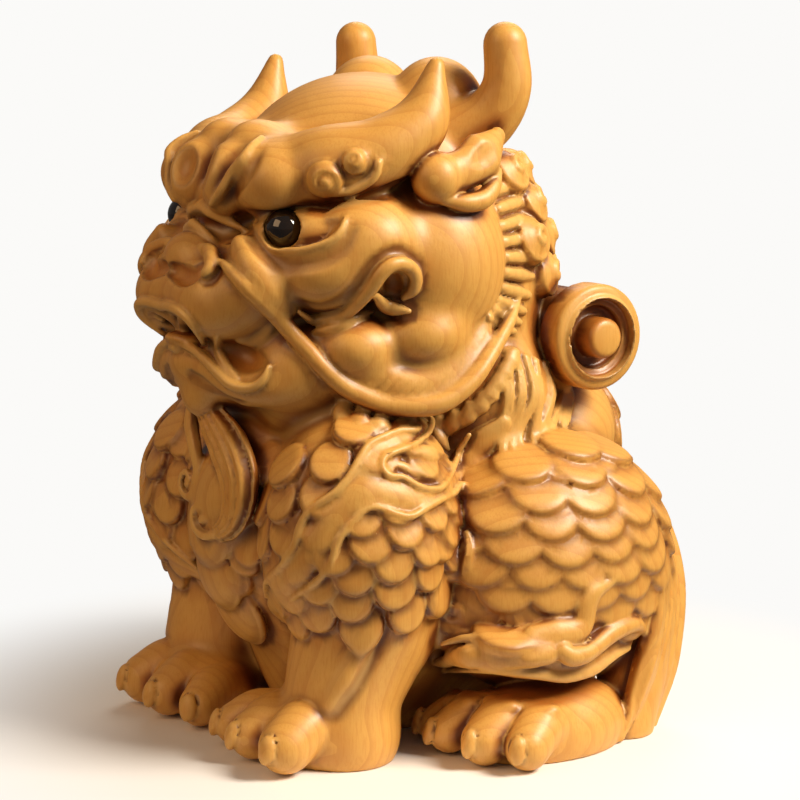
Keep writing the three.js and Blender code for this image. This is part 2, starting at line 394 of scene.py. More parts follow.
    def lock(self, form: Strand, side: int, cut: Cut) -> None:
        """Cuts a strand on one side.

        Args:
            form: the strand.
            side: the X sign of the side.
            cut: raise or gouge.
        """
        path = np.array(form.path, float)
        if path.shape[1] == 2:
            path = self.sighted(path)
        if form.rise is not None:
            path = self.settled(path, form.rise)
        length = np.linalg.norm(np.diff(path, axis=0), axis=1).sum()
        step = max(0.4, 0.12 * float(np.mean(form.sizes)))
        count = max(5, int(length / step))
        line = smooth_path(path, count)
        half = np.interp(np.linspace(0, len(form.sizes) - 1, count), np.arange(len(form.sizes)), form.sizes)
        plain = form.flat == 1.0 and not form.flutes
        frame = None
        if not plain:
            faces = np.array([form.up] * count, float) if form.up else self.outward(line)
            ahead = unit(np.gradient(line, axis=0))
            faces = unit(faces - (faces * ahead).sum(1)[:, None] * ahead)
            frame = np.stack([np.cross(ahead, faces), faces, ahead], 1) * (side, 1, 1)
        places = line * (side, 1, 1)
        reach = half.max() + margin(half.max()) + form.soft + self.cell
        where, _ = self.window(places.min(0) - reach, places.max(0) + reach)
        field = np.full(self.field[where].shape, FAR, np.float32)
        if not field.size:
            return
        nearest = np.full(field.shape, 1e6, np.float32)
        shares = [np.zeros(field.shape, np.float32) for _ in range(2)] if plain else []
        first = np.array([part.start for part in where])
        for k in range(count - 1):
            turn = None if plain else frame[k:k + 2]
            self._length([field, nearest, *shares], first, places[k:k + 2], half[k:k + 2], turn, form)
        if plain:
            reached = shares[1] > 0
            field[reached] = np.sqrt(nearest[reached]) - shares[0][reached] / shares[1][reached]
        self.merge(where, field, form.soft, cut)

    def _length(self, fields: list[np.ndarray], first: np.ndarray, ends: np.ndarray,
                halves: np.ndarray, frame: np.ndarray | None, form: Strand) -> None:
        """Lays one short length of a strand into its own field.

        A flat or fluted strand takes the shape of its nearest length; a round one takes the least distance
        and the mean of the half widths, in which the near lengths count most.

        Args:
            fields: the strand's field, its squared distance to the path, and for a round strand the sum of
                the weighted half widths and the sum of the weights, changed in place.
            first: the grid place of their first cell.
            ends: where the length starts and ends.
            halves: the half widths there.
            frame: the ways across, out and ahead there, or none where it is round.
            form: the strand.
        """
        reach = halves.max() + margin(halves.max()) + form.soft
        where, axes = self.window(ends.min(0) - reach, ends.max(0) + reach)
        local = tuple(slice(max(part.start - at, 0), part.stop - at) for part, at in zip(where, first))
        along = ends[1] - ends[0]
        gap = [axes[k] - ends[0][k] for k in range(3)]
        share = np.clip(sum(gap[k] * along[k] for k in range(3)) / max(float(along @ along), 1e-9), 0, 1)
        off = [gap[k] - along[k] * share for k in range(3)]
        away = sum(part**2 for part in off)
        size = halves[0] + (halves[1] - halves[0]) * share
        if frame is None:
            nearest, sizes, weights = (one[local] for one in fields[1:])
            weight = (away + 0.05) ** -4
            sizes += weight * size
            weights += weight
            np.minimum(nearest, away, out=nearest, casting="same_kind")
            return
        start, change = frame[0], frame[1] - frame[0]
        wide, high, on = (sum(off[k] * (start[row][k] + change[row][k] * share) for k in range(3))
                          for row in range(3))
        if form.flutes:
            waves = 0.5 + 0.5 * np.cos(math.pi * form.flutes * np.clip(wide / size, -1, 1))
            size = np.maximum(size - form.groove * waves * (high > 0), 0.4 * size)
        thick = size * form.flat
        ratio = np.sqrt((wide / size) ** 2 + (high / thick) ** 2 + (on / size) ** 2)
        slope = np.sqrt((wide / size**2) ** 2 + (high / thick**2) ** 2 + (on / size**2) ** 2)
        near = ratio * (ratio - 1) / np.maximum(slope, 1e-6)
        field, nearest = (one[local] for one in fields)
        closer = away < nearest
        np.copyto(field, near.astype(np.float32), where=closer)
        np.copyto(nearest, away.astype(np.float32), where=closer)

    def curl(self, form: Volute, side: int) -> None:
        """Raises a snail curl on one side of the remembered surface.

        Args:
            form: the curl.
            side: the X sign of the side.
        """
        middle = self.settled(np.array([form.at], float))
        out = self.outward(middle)[0]
        aside = unit(np.cross((0, 0, 1), out))
        up = np.cross(out, aside)
        share = np.linspace(0, 1, 26)
        angle = math.radians(form.first) + form.hand * 2 * math.pi * form.turns * share
        radius = form.radius * (1 - share) ** 0.85
        path = middle + radius[:, None] * (np.cos(angle)[:, None] * aside + np.sin(angle)[:, None] * up)
        rise = form.dome * np.sqrt(1 - (radius / form.radius) ** 2) - 0.2 * form.size
        path = self.settled(path) + out * rise[:, None]
        strand = Strand(tuple(map(tuple, path)), (0.6 * form.size, form.size, 0.9 * form.size), soft=0.05)
        self.egg(middle[0], (form.radius, form.radius, form.dome), np.stack([aside, up, out], 1), 0.3, side,
                 Cut.RAISE)
        self.lock(strand, side, Cut.RAISE)

    def carve(self, form: Mass | Strand | Volute, sides: Sides = Sides.BOTH, cut: Cut = Cut.RAISE) -> None:
        """Adds or gouges a form.

        Args:
            form: the form.
            sides: the sides it is cut on.
            cut: raise or gouge.
        """
        for side in sides.signs:
            if isinstance(form, Mass):
                self.egg(np.array(form.at, float), form.half, turned(form.turn), form.soft, side, cut)
            elif isinstance(form, Strand):
                self.lock(form, side, cut)
            else:
                self.curl(form, side)

    def level(self, height: float) -> None:
        """Saws the block off flat at a height."""
        z = self.low[2] + self.cell * np.arange(self.count[2], dtype=np.float32)
        self.field = np.maximum(self.field, (height - z)[None, None, :])


@dataclass(frozen=True)
class ScaleCoat:
    """Rows of lapped scales over a rounded form, their tips down.

    The rows are rings about an upright axis through the middle, from one height angle to another, and
    climb towards the rear. Each scale is a domed disc whose root is sunk and whose tip stands off the wood.
    """

    middle: Point
    reach: float
    width: float
    pitch: float
    rows: tuple[float, float]
    turn: tuple[float, float]
    low: Point = (-50.0, -50.0, 0.0)
    high: Point = (50.0, 50.0, 100.0)
    lift: float = 11.0
    thick: float = 0.95
    stretch: float = 1.0
    lean: float = 0.0
    climb: float = 0.0
    brow: float = 4.4
    sunk: float = 0.15

    def lay(self, block: CarvingBlock, seed: int, sides: Sides = Sides.BOTH) -> None:
        """Raises the scales.

        Args:
            block: the wood.
            seed: starts the small differences between one scale and the next.
            sides: the sides they are cut on.
        """
        chance = np.random.default_rng(seed)
        aim = np.array(self.middle, float)
        starts = []
        count = int(math.radians(self.rows[0] - self.rows[1]) * self.reach / self.pitch)
        for row in range(count + 1):
            height = math.radians(self.rows[0]) - row * self.pitch / self.reach
            ring = max(self.reach * math.cos(height), 0.5 * self.width)
            step = math.degrees(self.width / ring)
            for angle in np.arange(self.turn[0] + 0.5 * step * (row % 2), self.turn[1], step):
                turn = math.radians(angle + chance.uniform(-0.04, 0.04) * step)
                rise = height + self.climb * math.cos(height) * turn
                way = (math.cos(rise) * math.cos(turn), math.cos(rise) * math.sin(turn), math.sin(rise))
                starts.append(aim + 1.5 * self.reach * np.array(way))
        places, met = block.struck(np.array(starts), aim, 1.5 * self.reach)
        met &= ((places > self.low) & (places < self.high)).all(1)
        places = places[met]
        out = block.outward(places)
        down = np.array([0, math.sin(math.radians(self.lean)), -math.cos(math.radians(self.lean))])
        tip = unit(down - (out @ down)[:, None] * out)
        across = np.cross(out, tip)
        lift = math.radians(self.lift)
        long = 0.56 * self.width * self.stretch
        for place, face, way, aside in zip(places, out, tip, across):
            tilted = way * math.cos(lift) + face * math.sin(lift)
            over = face * math.cos(lift) - way * math.sin(lift)
            grow = chance.uniform(0.95, 1.05)
            half = (0.56 * self.width * grow, long * grow, self.thick)
            spin = np.stack([aside, tilted, over], 1)
            for side in sides.signs:
                block.egg(place - self.sunk * face, half, spin, 0.08, side, Cut.RAISE, self.brow)


def cut_claw(block: CarvingBlock, toe: Strand, half: Point) -> np.ndarray:
    """Beds a claw in the front of a toe.

    Args:
        block: the wood.
        toe: the toe, whose path ends at its tip.
        half: the claw's half sizes.

    Returns:
        The level way that the toe points.
    """
    tip, before = np.array(toe.path[-1]), np.array(toe.path[-2])
    way = unit((tip - before) * (1, 1, 0))
    turn = (CLAW_DROOP, 0, math.degrees(math.atan2(way[0], -way[1])))
    radius = toe.sizes[-1]
    bed = tuple(part + 0.4 for part in half)
    block.carve(Mass(tuple(tip + way * (radius + 0.3) + (0, 0, 0.5)), bed, turn, soft=0.1), cut=Cut.GOUGE)
    block.carve(Mass(tuple(tip + way * (radius - 0.1) + (0, 0, 0.3)), half, turn, soft=0.06))
    return way


class Carving:
    """What every sub-assembly of the beast can do to the block."""

    def rough_out(self, block: CarvingBlock) -> None:
        """Carves the large masses."""

    def relieve(self, block: CarvingBlock) -> None:
        """Carves the relief that lies on the masses."""


@dataclass
class Trunk(Carving):
    """The chest, barrel, rump and nape, which reach the ground behind the forelegs."""

    chest: Mass = Mass((0, -3, 30), (16, 15.5, 20), soft=4)
    belly: Mass = Mass((0, 6, 15), (15.5, 17, 20), soft=4)
    barrel: Mass = Mass((0, 12, 27), (19, 22, 25), soft=4)
    rump: Mass = Mass((0, 24.2, 21.5), (20.5, 14.8, 22.5), soft=4)
    nape: Mass = Mass((0, 16, 46), (17, 17, 18), soft=4)
    loin: Mass = Mass((0, 28.0, 37.5), (18.5, 12.6, 11), soft=4)
    withers: Mass = Mass((14.5, 14.5, 44.5), (7.6, 9.0, 9.5), (0, 0, 0), soft=3)
    plate_tips: tuple[float, ...] = (30.5, 24.0, 18.0, 12.5)
    plate_half: Point = (5.8, 5.4, 1.3)
    plate_lift: float = 10.0
    spine_knobs: int = 5
    spine_top: float = 42
    spine_step: float = 7.2
    knob_half: Point = (2.0, 1.6, 3.4)
    breast: ScaleCoat = ScaleCoat(
        (0, -1, 27), 15, 4.6, 3.0, (28, -48), (-130, -62), high=(50, -12, 40), lift=9)
    back: ScaleCoat = ScaleCoat(
        (0, 16, 26), 24, 6.4, 3.5, (40, -42), (62, 118), low=(-16, 20, 3), high=(16, 60, 44))
    flank: ScaleCoat = ScaleCoat(
        (0, 10, 30), 24, 5.0, 3.1, (42, -28), (-22, 42), low=(12, -2, 12), high=(50, 30, 37))

    def rough_out(self, block: CarvingBlock) -> None:
        """Carves the masses."""
        for mass in (self.chest, self.belly, self.barrel, self.rump, self.nape, self.loin):
            block.carve(mass, Sides.MIDDLE)
        block.carve(self.withers)

    def relieve(self, block: CarvingBlock) -> None:
        """Laps the breast plates, the side scales, the back's scales and its row of knobs."""
        self.breast.lay(block, 5, Sides.MIDDLE)
        for tip in self.plate_tips:
            self._plate(block, tip)
        self.back.lay(block, 6, Sides.MIDDLE)
        self.flank.lay(block, 7)
        for knob in range(self.spine_knobs):
            height = self.spine_top - self.spine_step * knob
            place = block.struck(np.array([[0.0, 60.0, height]]), np.array([0.0, 10.0, height]), 40)[0][0]
            block.carve(Mass(tuple(place), self.knob_half, (-8, 0, 0), soft=0.6), Sides.MIDDLE)

    def _plate(self, block: CarvingBlock, tip: float) -> None:
        """Laps one broad breast plate, with its thin raised edge.

        Args:
            block: the wood.
            tip: the height of its lowest point.
        """
        wide, long, thick = self.plate_half
        starts = np.array([[0.0, -45.0, tip + 0.75 * long]])
        place = block.struck(starts, np.array([0.0, 0.0, tip + 0.75 * long]), 40)[0]
        out = block.outward(place)[0]
        aside = np.array([1.0, 0, 0])
        way = unit(np.cross(aside, out) * (1 if np.cross(aside, out)[2] < 0 else -1))
        lift = math.radians(self.plate_lift)
        tilted = way * math.cos(lift) + out * math.sin(lift)
        spin = np.stack([aside, tilted, np.cross(aside, tilted)], 1)
        for grow, sink in ((1.0, 0.25), (0.86, -0.2)):
            half = (wide * grow, long * grow, thick)
            block.egg(place[0] - sink * out, half, spin, 0.08, 1, Cut.RAISE)


@dataclass
class Head(Carving):
    """The skull, cheeks, muzzle and jaw, without their features."""

    mane: Mass = Mass((0, 12, 59.5), (20.5, 16, 19.5), soft=4)
    crown: Mass = Mass((0, 5, 67), (19.5, 18.5, 18.5), soft=4)
    muzzle: Mass = Mass((0, -13.6, 58.6), (13, 11, 7.2), soft=2.5)
    bridge: Mass = Mass((0, -13, 69), (5.5, 6, 6), soft=3)
    jaw: Mass = Mass((0, -11, 49), (12.6, 11, 6.5), soft=2)
    chin: Mass = Mass((0, -18.2, 47.4), (5.6, 3.6, 3.0), soft=1.5)
    upper_lip: Mass = Mass((5.6, -18.4, 57.6), (6.4, 6.3, 5.0), soft=3)
    whisker_side: Mass = Mass((9.6, -14.2, 61.2), (6.0, 6.0, 5.4), soft=3)
    lower_lip: Strand = Strand(
        ((0, -20.4, 49.8), (5.0, -19.6, 49.2), (9.0, -18.0, 47.2), (11.6, -15.8, 47.4)),
        (2.5, 2.5, 2.3, 2.2), soft=1.5)
    jaw_side: Mass = Mass((11.2, -9.6, 49.4), (6.2, 8.2, 6.6), soft=2)
    throat: Mass = Mass((8, -9, 45), (6.5, 6.5, 5), soft=1.5)
    cheek: Mass = Mass((15.4, 4.6, 62.0), (9.7, 10.0, 11.6), soft=1.6)
    fore_cheek: Mass = Mass((16.2, -5.4, 65.0), (7.7, 7.6, 6.6), soft=2.2)
    under_eye: Mass = Mass((15.0, -9.6, 62.0), (6.7, 6.7, 5.3), soft=2.6)
    ruff: Strand = Strand(
        ((16.4, -8.4, 50.4), (19.2, -4.6, 48.4), (20.9, -0.6, 47.4), (21.6, 3.6, 49.2), (21.0, 8.6, 52.8)),
        (2.2, 2.6, 2.8, 2.8, 2.4), soft=1.2)
    fore_lobe: Mass = Mass((16.9, -6.4, 52.2), (4.9, 5.2, 3.9), (0, 0, 10), soft=1.9)
    lobe: Mass = Mass((19.8, 1.6, 53.8), (5.0, 5.6, 4.2), (10, 0, 0), soft=1.7)
    eye_seat: Mass = Mass((10.6, -11.8, 66.0), (5.0, 4.4, 4.2), soft=1.6)

    def rough_out(self, block: CarvingBlock) -> None:
        """Carves the masses."""
        for mass in (self.mane, self.crown, self.muzzle, self.jaw, self.bridge, self.chin):
            block.carve(mass, Sides.MIDDLE)
        for mass in (self.upper_lip, self.whisker_side, self.lower_lip, self.jaw_side, self.throat,
                     self.cheek, self.fore_cheek, self.under_eye, self.eye_seat, self.ruff, self.fore_lobe,
                     self.lobe):
            block.carve(mass)


@dataclass
class Brows(Carving):
    """The flame brows with their snail curls, and the folded forehead between them."""

    front: Mass = Mass((9.3, -12.9, 72.6), (6.2, 6.2, 5.2), soft=1.2)
    flame: Strand = Strand(
        ((9.8, -11, 73), (14.2, -8.5, 74.4), (17.8, -3.5, 76.2), (19.3, 1.2, 80), (19.6, 3.2, 86.6)),
        (5.2, 5.2, 4.4, 3.7, 1.0), soft=0.8)
    petal: Mass = Mass((4.15, -16.7, 72.6), (3.7, 4.2, 4.9), (-14, 0, 8), soft=0.9)
    petal_root: Mass = Mass((3.6, -11.6, 75.4), (4.4, 5.6, 4.2), (-25, 0, 0), soft=2.6)
    petal_rim: Strand = Strand(
        ((262, 139), (254, 147), (245, 159), (234, 173), (221, 191), (212, 204)),
        (0.3, 0.55, 0.65, 0.65, 0.6, 0.3), soft=0.5, rise=0.25)
    slit: Strand = Strand(
        ((262, 150), (252, 166), (242, 180), (233, 192), (224, 205)), (0.3, 0.8, 0.9, 0.8, 0.4), soft=0.7,
        rise=0.3)
    fold: Strand = Strand(
        ((243, 152), (232, 164), (222, 178), (213, 188)), (0.3, 0.8, 0.8, 0.3), soft=1.6, rise=0.5)
    dish: Mass = Mass((2.7, -20.6, 74.4), (2.0, 2.0, 3.0), (-14, 0, 0), soft=0.9)
    large_curl: Volute = Volute((18.4, -12.2, 72.9), 2.3, 1.7, 1, 200, 0.5, 1.1)
    small_curl: Volute = Volute((20.2, -9.0, 75.3), 1.6, 1.5, -1, -30, 0.42, 0.9)
    curl_stem: Strand = Strand(
        ((18.6, -10.6, 71.2), (19.6, -8.8, 71.6), (21, -6.8, 73.2), (21.2, -6.2, 75.2)),
        (0.5, 0.6, 0.6, 0.4), rise=0.2, soft=0.3)
    under_cut: Strand = Strand(
        ((5.5, -17.0, 68.0), (9.5, -17.2, 68.6), (13, -14.6, 69.0), (16, -11, 69.2), (18.6, -6.8, 70.2),
         (20, -3.0, 72.2), (20, 1.5, 74.0)), (0.5, 0.6, 0.7, 0.9, 0.9, 0.8, 0.3), soft=0.5)

    def rough_out(self, block: CarvingBlock) -> None:
        """Carves the brows' masses."""
        for form in (self.front, self.flame, self.petal_root, self.petal):
            block.carve(form)

    def relieve(self, block: CarvingBlock) -> None:
        """Cuts the forehead's folds and the curls."""
        for form in (self.dish, self.slit, self.fold):
            block.carve(form, cut=Cut.GOUGE)
        block.carve(self.petal_rim)
        for form in (self.large_curl, self.small_curl, self.curl_stem):
            block.carve(form)
        block.carve(self.under_cut, cut=Cut.GOUGE)


@dataclass
class Crest(Carving):
    """The horns, the lumps beside them and the folded ears."""

    lump: Mass = Mass((8, 11, 80), (6.5, 6.5, 7.5), soft=1)
    horn: Strand = Strand(
        ((13, 10.5, 77), (16, 13.8, 80), (17.7, 15.2, 84), (17.7, 14.9, 89.2)), (4.4, 3.7, 3.1, 2.7),
        soft=1.2)
    bulb: Mass = Mass((21.8, 1.8, 73.0), (3.1, 3.2, 3.3), soft=0.3)
    leaf: Strand = Strand(
        ((22.2, 2.6, 73.2), (22.4, 5.4, 74.0), (22.0, 8.4, 75.6), (21.0, 11.4, 77.8)), (2.7, 2.6, 3.1, 1.2),
        flat=0.75, up=(1, 0.25, 0.1), soft=0.4)
    lip: Strand = Strand(
        ((23.2, 1.8, 70.4), (23.9, 4.4, 70.0), (23.8, 7.2, 70.3), (23.2, 9.2, 71.7), (22.2, 10.8, 73.6)),
        (0.6, 1.2, 1.3, 1.1, 0.5), soft=0.4)
    slit: Strand = Strand(
        ((25.2, 3.8, 71.9), (25.0, 5.6, 72.0), (24.6, 7.8, 72.5)), (0.3, 0.8, 0.5), soft=0.3)
    dish: Mass = Mass((24.8, 7.8, 76.0), (1.1, 2.6, 1.5), (30, 0, 0), soft=0.9)

    def rough_out(self, block: CarvingBlock) -> None:
        """Carves the lumps and the horns."""
        block.carve(self.lump)
        block.carve(self.horn)

    def relieve(self, block: CarvingBlock) -> None:
        """Cuts the ears."""
        for form in (self.leaf, self.bulb, self.lip):
            block.carve(form)
        for form in (self.slit, self.dish):
            block.carve(form, cut=Cut.GOUGE)


@dataclass(frozen=True)
class Eyes(Carving):
    """The sockets and lids; the beads in them are pieces of their own."""

    bead: Point = (12.8, -14.45, 67.0)
    radius: float = 2.4
    gap: float = 0.12
    out: Point = (0.72, -0.69, 0.05)
    almond: Strand = Strand(
        ((268, 232), (284, 231), (300, 232), (318, 231), (334, 225)), (1.2, 2.2, 2.2, 1.9, 0.9), soft=0.4,
        rise=0.5)
    ball: Mass = Mass((13.9, -12.3, 66.5), (6.4, 3.2, 3.0), (0, 0, 38), soft=0.2)
    lower_lid: Strand = Strand(
        ((256, 222), (258.5, 231), (265, 241), (274, 249), (286, 251.5), (303, 250.5), (321, 245.5),
         (334, 238.5), (342, 229), (346, 218)), (0.25, 0.4, 0.42, 0.45, 0.45, 0.45, 0.45, 0.42, 0.4, 0.25),
        soft=0.35, rise=0.15)
    duct: Strand = Strand(((257, 221), (260, 231), (266, 241)), (0.2, 0.4, 0.25), soft=0.3, rise=0.1)
    crease: Strand = Strand(
        ((250, 240), (262, 253), (284, 265), (306, 265), (328, 259), (345, 246), (353, 230)),
        (0.2, 0.5, 0.55, 0.5, 0.5, 0.4, 0.2), soft=1.2, rise=0.25)

    def relieve(self, block: CarvingBlock) -> None:
        """Cuts the socket, the white of the eye and the lids."""
        block.carve(self.almond, cut=Cut.GOUGE)
        block.carve(self.ball)
        block.carve(self.crease, cut=Cut.GOUGE)
        block.carve(self.lower_lid)
        block.carve(self.duct)
        block.carve(Mass(self.bead, (self.radius + self.gap,) * 3, soft=0), cut=Cut.GOUGE)
        front = np.array(self.bead) + 2.0 * unit(np.array(self.out))
        block.carve(Mass(tuple(front), (self.radius + self.gap,) * 3, soft=0.1), cut=Cut.GOUGE)


@dataclass
class Muzzle(Carving):
    """The nose, the roaring mouth with its teeth, and the smile folds of the cheek.

    The paths of two numbers follow the photograph, which shows this side of the face.
    """

    nose: Mass = Mass((0, -20.2, 62.9), (4.2, 3.6, 3.2), soft=1.4)
    wing: Strand = Strand(
        ((204, 250), (211, 254), (214, 262), (212, 270), (206, 276)), (0.5, 0.95, 1.05, 0.9, 0.5), soft=0.4,
        rise=0.45)
    nostril: Strand = Strand(
        ((172, 270), (182, 275), (192, 274), (200, 267)), (0.9, 1.5, 1.5, 0.9), soft=0.35, rise=0.1)
    wing_crease: Strand = Strand(
        ((217, 247), (220.5, 258), (219.5, 270), (213, 281), (205, 284)), (0.25, 0.4, 0.45, 0.45, 0.3),
        soft=0.5, rise=0.1)
    wrinkles: tuple[Strand, ...] = (
        Strand(((0, -20.2, 66.9), (1.9, -20.0, 66.3), (3.7, -19.4, 65.1)), (0.6, 0.6, 0.35), soft=0.6),
        Strand(((0, -18.9, 69.0), (2.4, -18.9, 68.4), (5.0, -17.7, 67.3), (6.8, -16.6, 66.4)),
               (0.7, 0.75, 0.6, 0.3), soft=0.6),
    )
    wrinkle_cuts: tuple[Strand, ...] = (
        Strand(((0, -20.4, 67.8), (2.4, -20.4, 67.2), (4.8, -19.2, 66.0), (6.6, -18.2, 64.8)),
               (0.4, 0.45, 0.45, 0.3), soft=0.6),
    )
    mouth: tuple[Strand, ...] = (
        Strand(((0, -24.8, 54.1), (3.4, -24.0, 53.8), (6.0, -22.6, 52.3), (8.0, -21.2, 51.2)),
               (2.3, 2.1, 1.4, 0.8), soft=0.3),
        Strand(((0, -22.4, 54.0), (3.6, -21.6, 53.4)), (2.3, 1.8), soft=0.4),
    )
    upper_rim: Strand = Strand(
        ((163, 305), (172, 306), (181, 310.5), (190, 318.5), (198, 329), (206, 342)),
        (0.6, 0.65, 0.65, 0.6, 0.55, 0.35), soft=0.35, rise=0.25)
    lower_rim: Strand = Strand(
        ((175, 348), (183, 345), (192, 348), (201, 354), (211, 364), (222, 376), (231, 384), (243, 388),
         (256, 386), (265, 378), (270, 366)), (0.6, 0.6, 0.6, 0.6, 0.65, 0.65, 0.65, 0.65, 0.6, 0.45, 0.25),
        soft=0.35, rise=0.35)
    corner_fold: Strand = Strand(
        ((217, 336), (219, 347), (222.5, 359), (229, 370), (238, 380)), (0.3, 0.5, 0.6, 0.55, 0.3),
        soft=0.35, rise=0.15)
    corner: Strand = Strand(
        ((231, 346), (240, 354), (251, 360), (260, 362)), (0.9, 1.6, 1.6, 0.8), soft=0.9, rise=0.35)
    cheek_fold: Strand = Strand(
        ((240, 341), (252, 342), (264, 336), (272, 325)), (0.3, 0.6, 0.6, 0.3), soft=0.8, rise=0.0)
    chin_cut: Strand = Strand(
        ((192, 377), (202, 383), (214, 391), (228, 399), (244, 403)), (0.8, 0.9, 0.9, 0.8, 0.3), soft=0.8,
        rise=0.2)
    teeth: tuple[Strand, ...] = (
        Strand(((167, 312), (168, 325)), (0.9, 0.5), soft=0.1, rise=-1.2),
        Strand(((177, 312), (179, 326), (180, 339)), (1.0, 0.85, 0.3), soft=0.1, rise=-0.9),
        Strand(((189, 322), (190, 332)), (0.8, 0.4), soft=0.1, rise=-0.9),
        Strand(((197, 332), (199, 343)), (0.75, 0.4), soft=0.1, rise=-0.7),
        Strand(((187, 348), (188, 340)), (0.75, 0.4), soft=0.1, rise=-1.0),
        Strand(((206, 358), (208, 349)), (0.75, 0.4), soft=0.1, rise=-0.5),
    )
    tongue: Mass = Mass((0, -20, 52.0), (3.4, 4.2, 1.3), (-12, 0, 0), soft=0.3)
    smile: Strand = Strand(
        ((296, 308), (311, 314), (327, 315), (343, 309), (357, 299), (369, 286), (379, 272), (389, 263.5),
         (400, 262), (410, 268), (415, 278), (413, 289), (404, 296)),
        (0.3, 0.55, 0.7, 0.8, 0.85, 0.9, 0.95, 0.95, 0.9, 0.9, 0.85, 0.75, 0.4), soft=0.4, rise=0.5)
    smile_crease: Strand = Strand(
        ((298, 301), (318, 306), (337, 301), (351, 290), (362, 276), (374, 261), (388, 252), (404, 251),
         (419, 262)), (0.2, 0.45, 0.55, 0.55, 0.55, 0.5, 0.5, 0.5, 0.2), soft=0.9, rise=0.25)
    smile_cut: Strand = Strand(
        ((300, 319), (320, 325), (341, 321), (359, 311), (374, 303), (388, 316), (404, 324)),
        (0.3, 0.55, 0.6, 0.6, 0.5, 0.5, 0.2), soft=0.5, rise=0.15)
    hole: Strand = Strand(((393, 282), (394, 288)), (1.3, 1.15), soft=0.25, rise=-0.1)
    smile_tongue: Strand = Strand(
        ((373, 291), (384, 299), (397, 306), (411, 312)), (0.5, 0.95, 1.0, 0.4), flat=0.85, soft=0.2,
        rise=0.75)
    second_fold: Strand = Strand(
        ((316, 333), (331, 331), (346, 326), (361, 318), (373, 310)), (0.35, 0.65, 0.7, 0.55, 0.2),
        soft=0.5, rise=0.3)

    def relieve(self, block: CarvingBlock) -> None:
        """Cuts the nose, the mouth and the folds."""
        block.carve(self.nose, Sides.MIDDLE)
        for form in (*self.wrinkle_cuts, self.wing_crease):
            block.carve(form, cut=Cut.GOUGE)
        for form in (self.wing, *self.wrinkles):
            block.carve(form)
        for form in (self.nostril, *self.mouth, self.corner, self.chin_cut):
            block.carve(form, cut=Cut.GOUGE)
        block.carve(self.tongue, Sides.MIDDLE)
        for form in (*self.teeth, self.upper_rim, self.lower_rim, self.corner_fold, self.cheek_fold):
            block.carve(form)
        for form in (self.smile_crease, self.smile_cut):
            block.carve(form, cut=Cut.GOUGE)
        for form in (self.second_fold, self.smile, self.smile_tongue):
            block.carve(form)
        block.carve(self.hole, cut=Cut.GOUGE)


@dataclass
class Whiskers(Carving):
    """The long whiskers from the nose to the mane, with their hatched collars and the leaves below."""

    sweep: Strand = Strand(
        ((9.1, -21.3, 63.0), (11.0, -21.1, 62.1), (13.2, -20.3, 60.4), (14.3, -18.6, 58.5),
         (14.4, -16.4, 56.4), (15.0, -14.7, 54.2), (16.5, -13.3, 52.2), (17.8, -11.7, 49.9),
         (18.8, -9.4, 47.7), (20.0, -7.0, 46.3), (21.3, -4.4, 45.4), (23.0, -1.8, 45.2), (24.2, 1.0, 45.6),
         (24.7, 3.5, 46.9), (24.8, 5.8, 48.6), (24.3, 7.9, 50.5), (23.2, 10.3, 52.5), (21.9, 12.8, 54.6),
         (20.2, 15.4, 57.0)),
        (0.4, 0.8, 1.05, 1.15, 1.15, 1.1, 1.1, 1.1, 1.2, 1.3, 1.35, 1.35, 1.3, 1.2, 1.1, 1.0, 0.95, 0.85,
         0.4), soft=0.35)
    collar: Strand = Strand(
        ((15.8, -10.9, 50.8), (16.8, -8.7, 48.7), (18.0, -6.2, 47.2), (19.4, -3.6, 46.3),
         (21.0, -0.9, 46.1), (22.2, 1.8, 46.6), (22.8, 4.4, 47.8), (22.9, 6.6, 49.6), (22.3, 8.8, 51.5)),
        (1.4, 2.0, 2.3, 2.4, 2.4, 2.4, 2.2, 2.0, 1.5), soft=1.2)
    root: Strand = Strand(
        ((10.2, -19.2, 65.2), (12.6, -18.9, 62.4), (14.2, -17.6, 59.6), (14.6, -15.6, 57.0)),
        (1.0, 1.9, 1.9, 0.9), soft=1.8)
    hatch_low: PixelPath = (
        (372, 392), (396, 396), (420, 397), (441, 391), (459, 380), (473, 365), (484, 349), (493, 334))
    hatch_high: PixelPath = (
        (388, 376), (412, 383), (434, 380), (453, 369), (469, 354), (480, 340), (489, 328), (498, 318))
    hatches: int = 17
    leaf_line: PixelPath = (
        (342, 412), (378, 425), (418, 429), (453, 421), (480, 403), (497, 382), (509, 360))
    leaves: int = 13
    leaf_steps: PixelPath = ((3, -5), (0, 3), (-4, 12))
    leaf_sizes: Point = (1.0, 1.3, 0.4)
    hatch_bow: tuple[float, float] = (2.0, 0.5)
    hatch_sizes: Point = (0.12, 0.24, 0.1)

    def rough_out(self, block: CarvingBlock) -> None:
        """Carves the swollen root and the collar that the whisker lies on."""
        block.carve(self.root)
        block.carve(self.collar)

    def relieve(self, block: CarvingBlock) -> None:
        """Lays the leaves, hatches the collar and lays the whisker."""
        for at in smooth_path(np.array(self.leaf_line, float), self.leaves):
            leaf = tuple(tuple(at + step) for step in self.leaf_steps)
            block.carve(Strand(leaf, self.leaf_sizes, flat=0.6, soft=0.1, rise=0.3))
        edges = (self.hatch_low, self.hatch_high)
        for low, high in zip(*(smooth_path(np.array(edge, float), self.hatches) for edge in edges)):
            path = (tuple(low), tuple((low + high) / 2 + self.hatch_bow), tuple(high))
            block.carve(Strand(path, self.hatch_sizes, soft=0.3, rise=0.05), cut=Cut.GOUGE)
        block.carve(self.sweep)


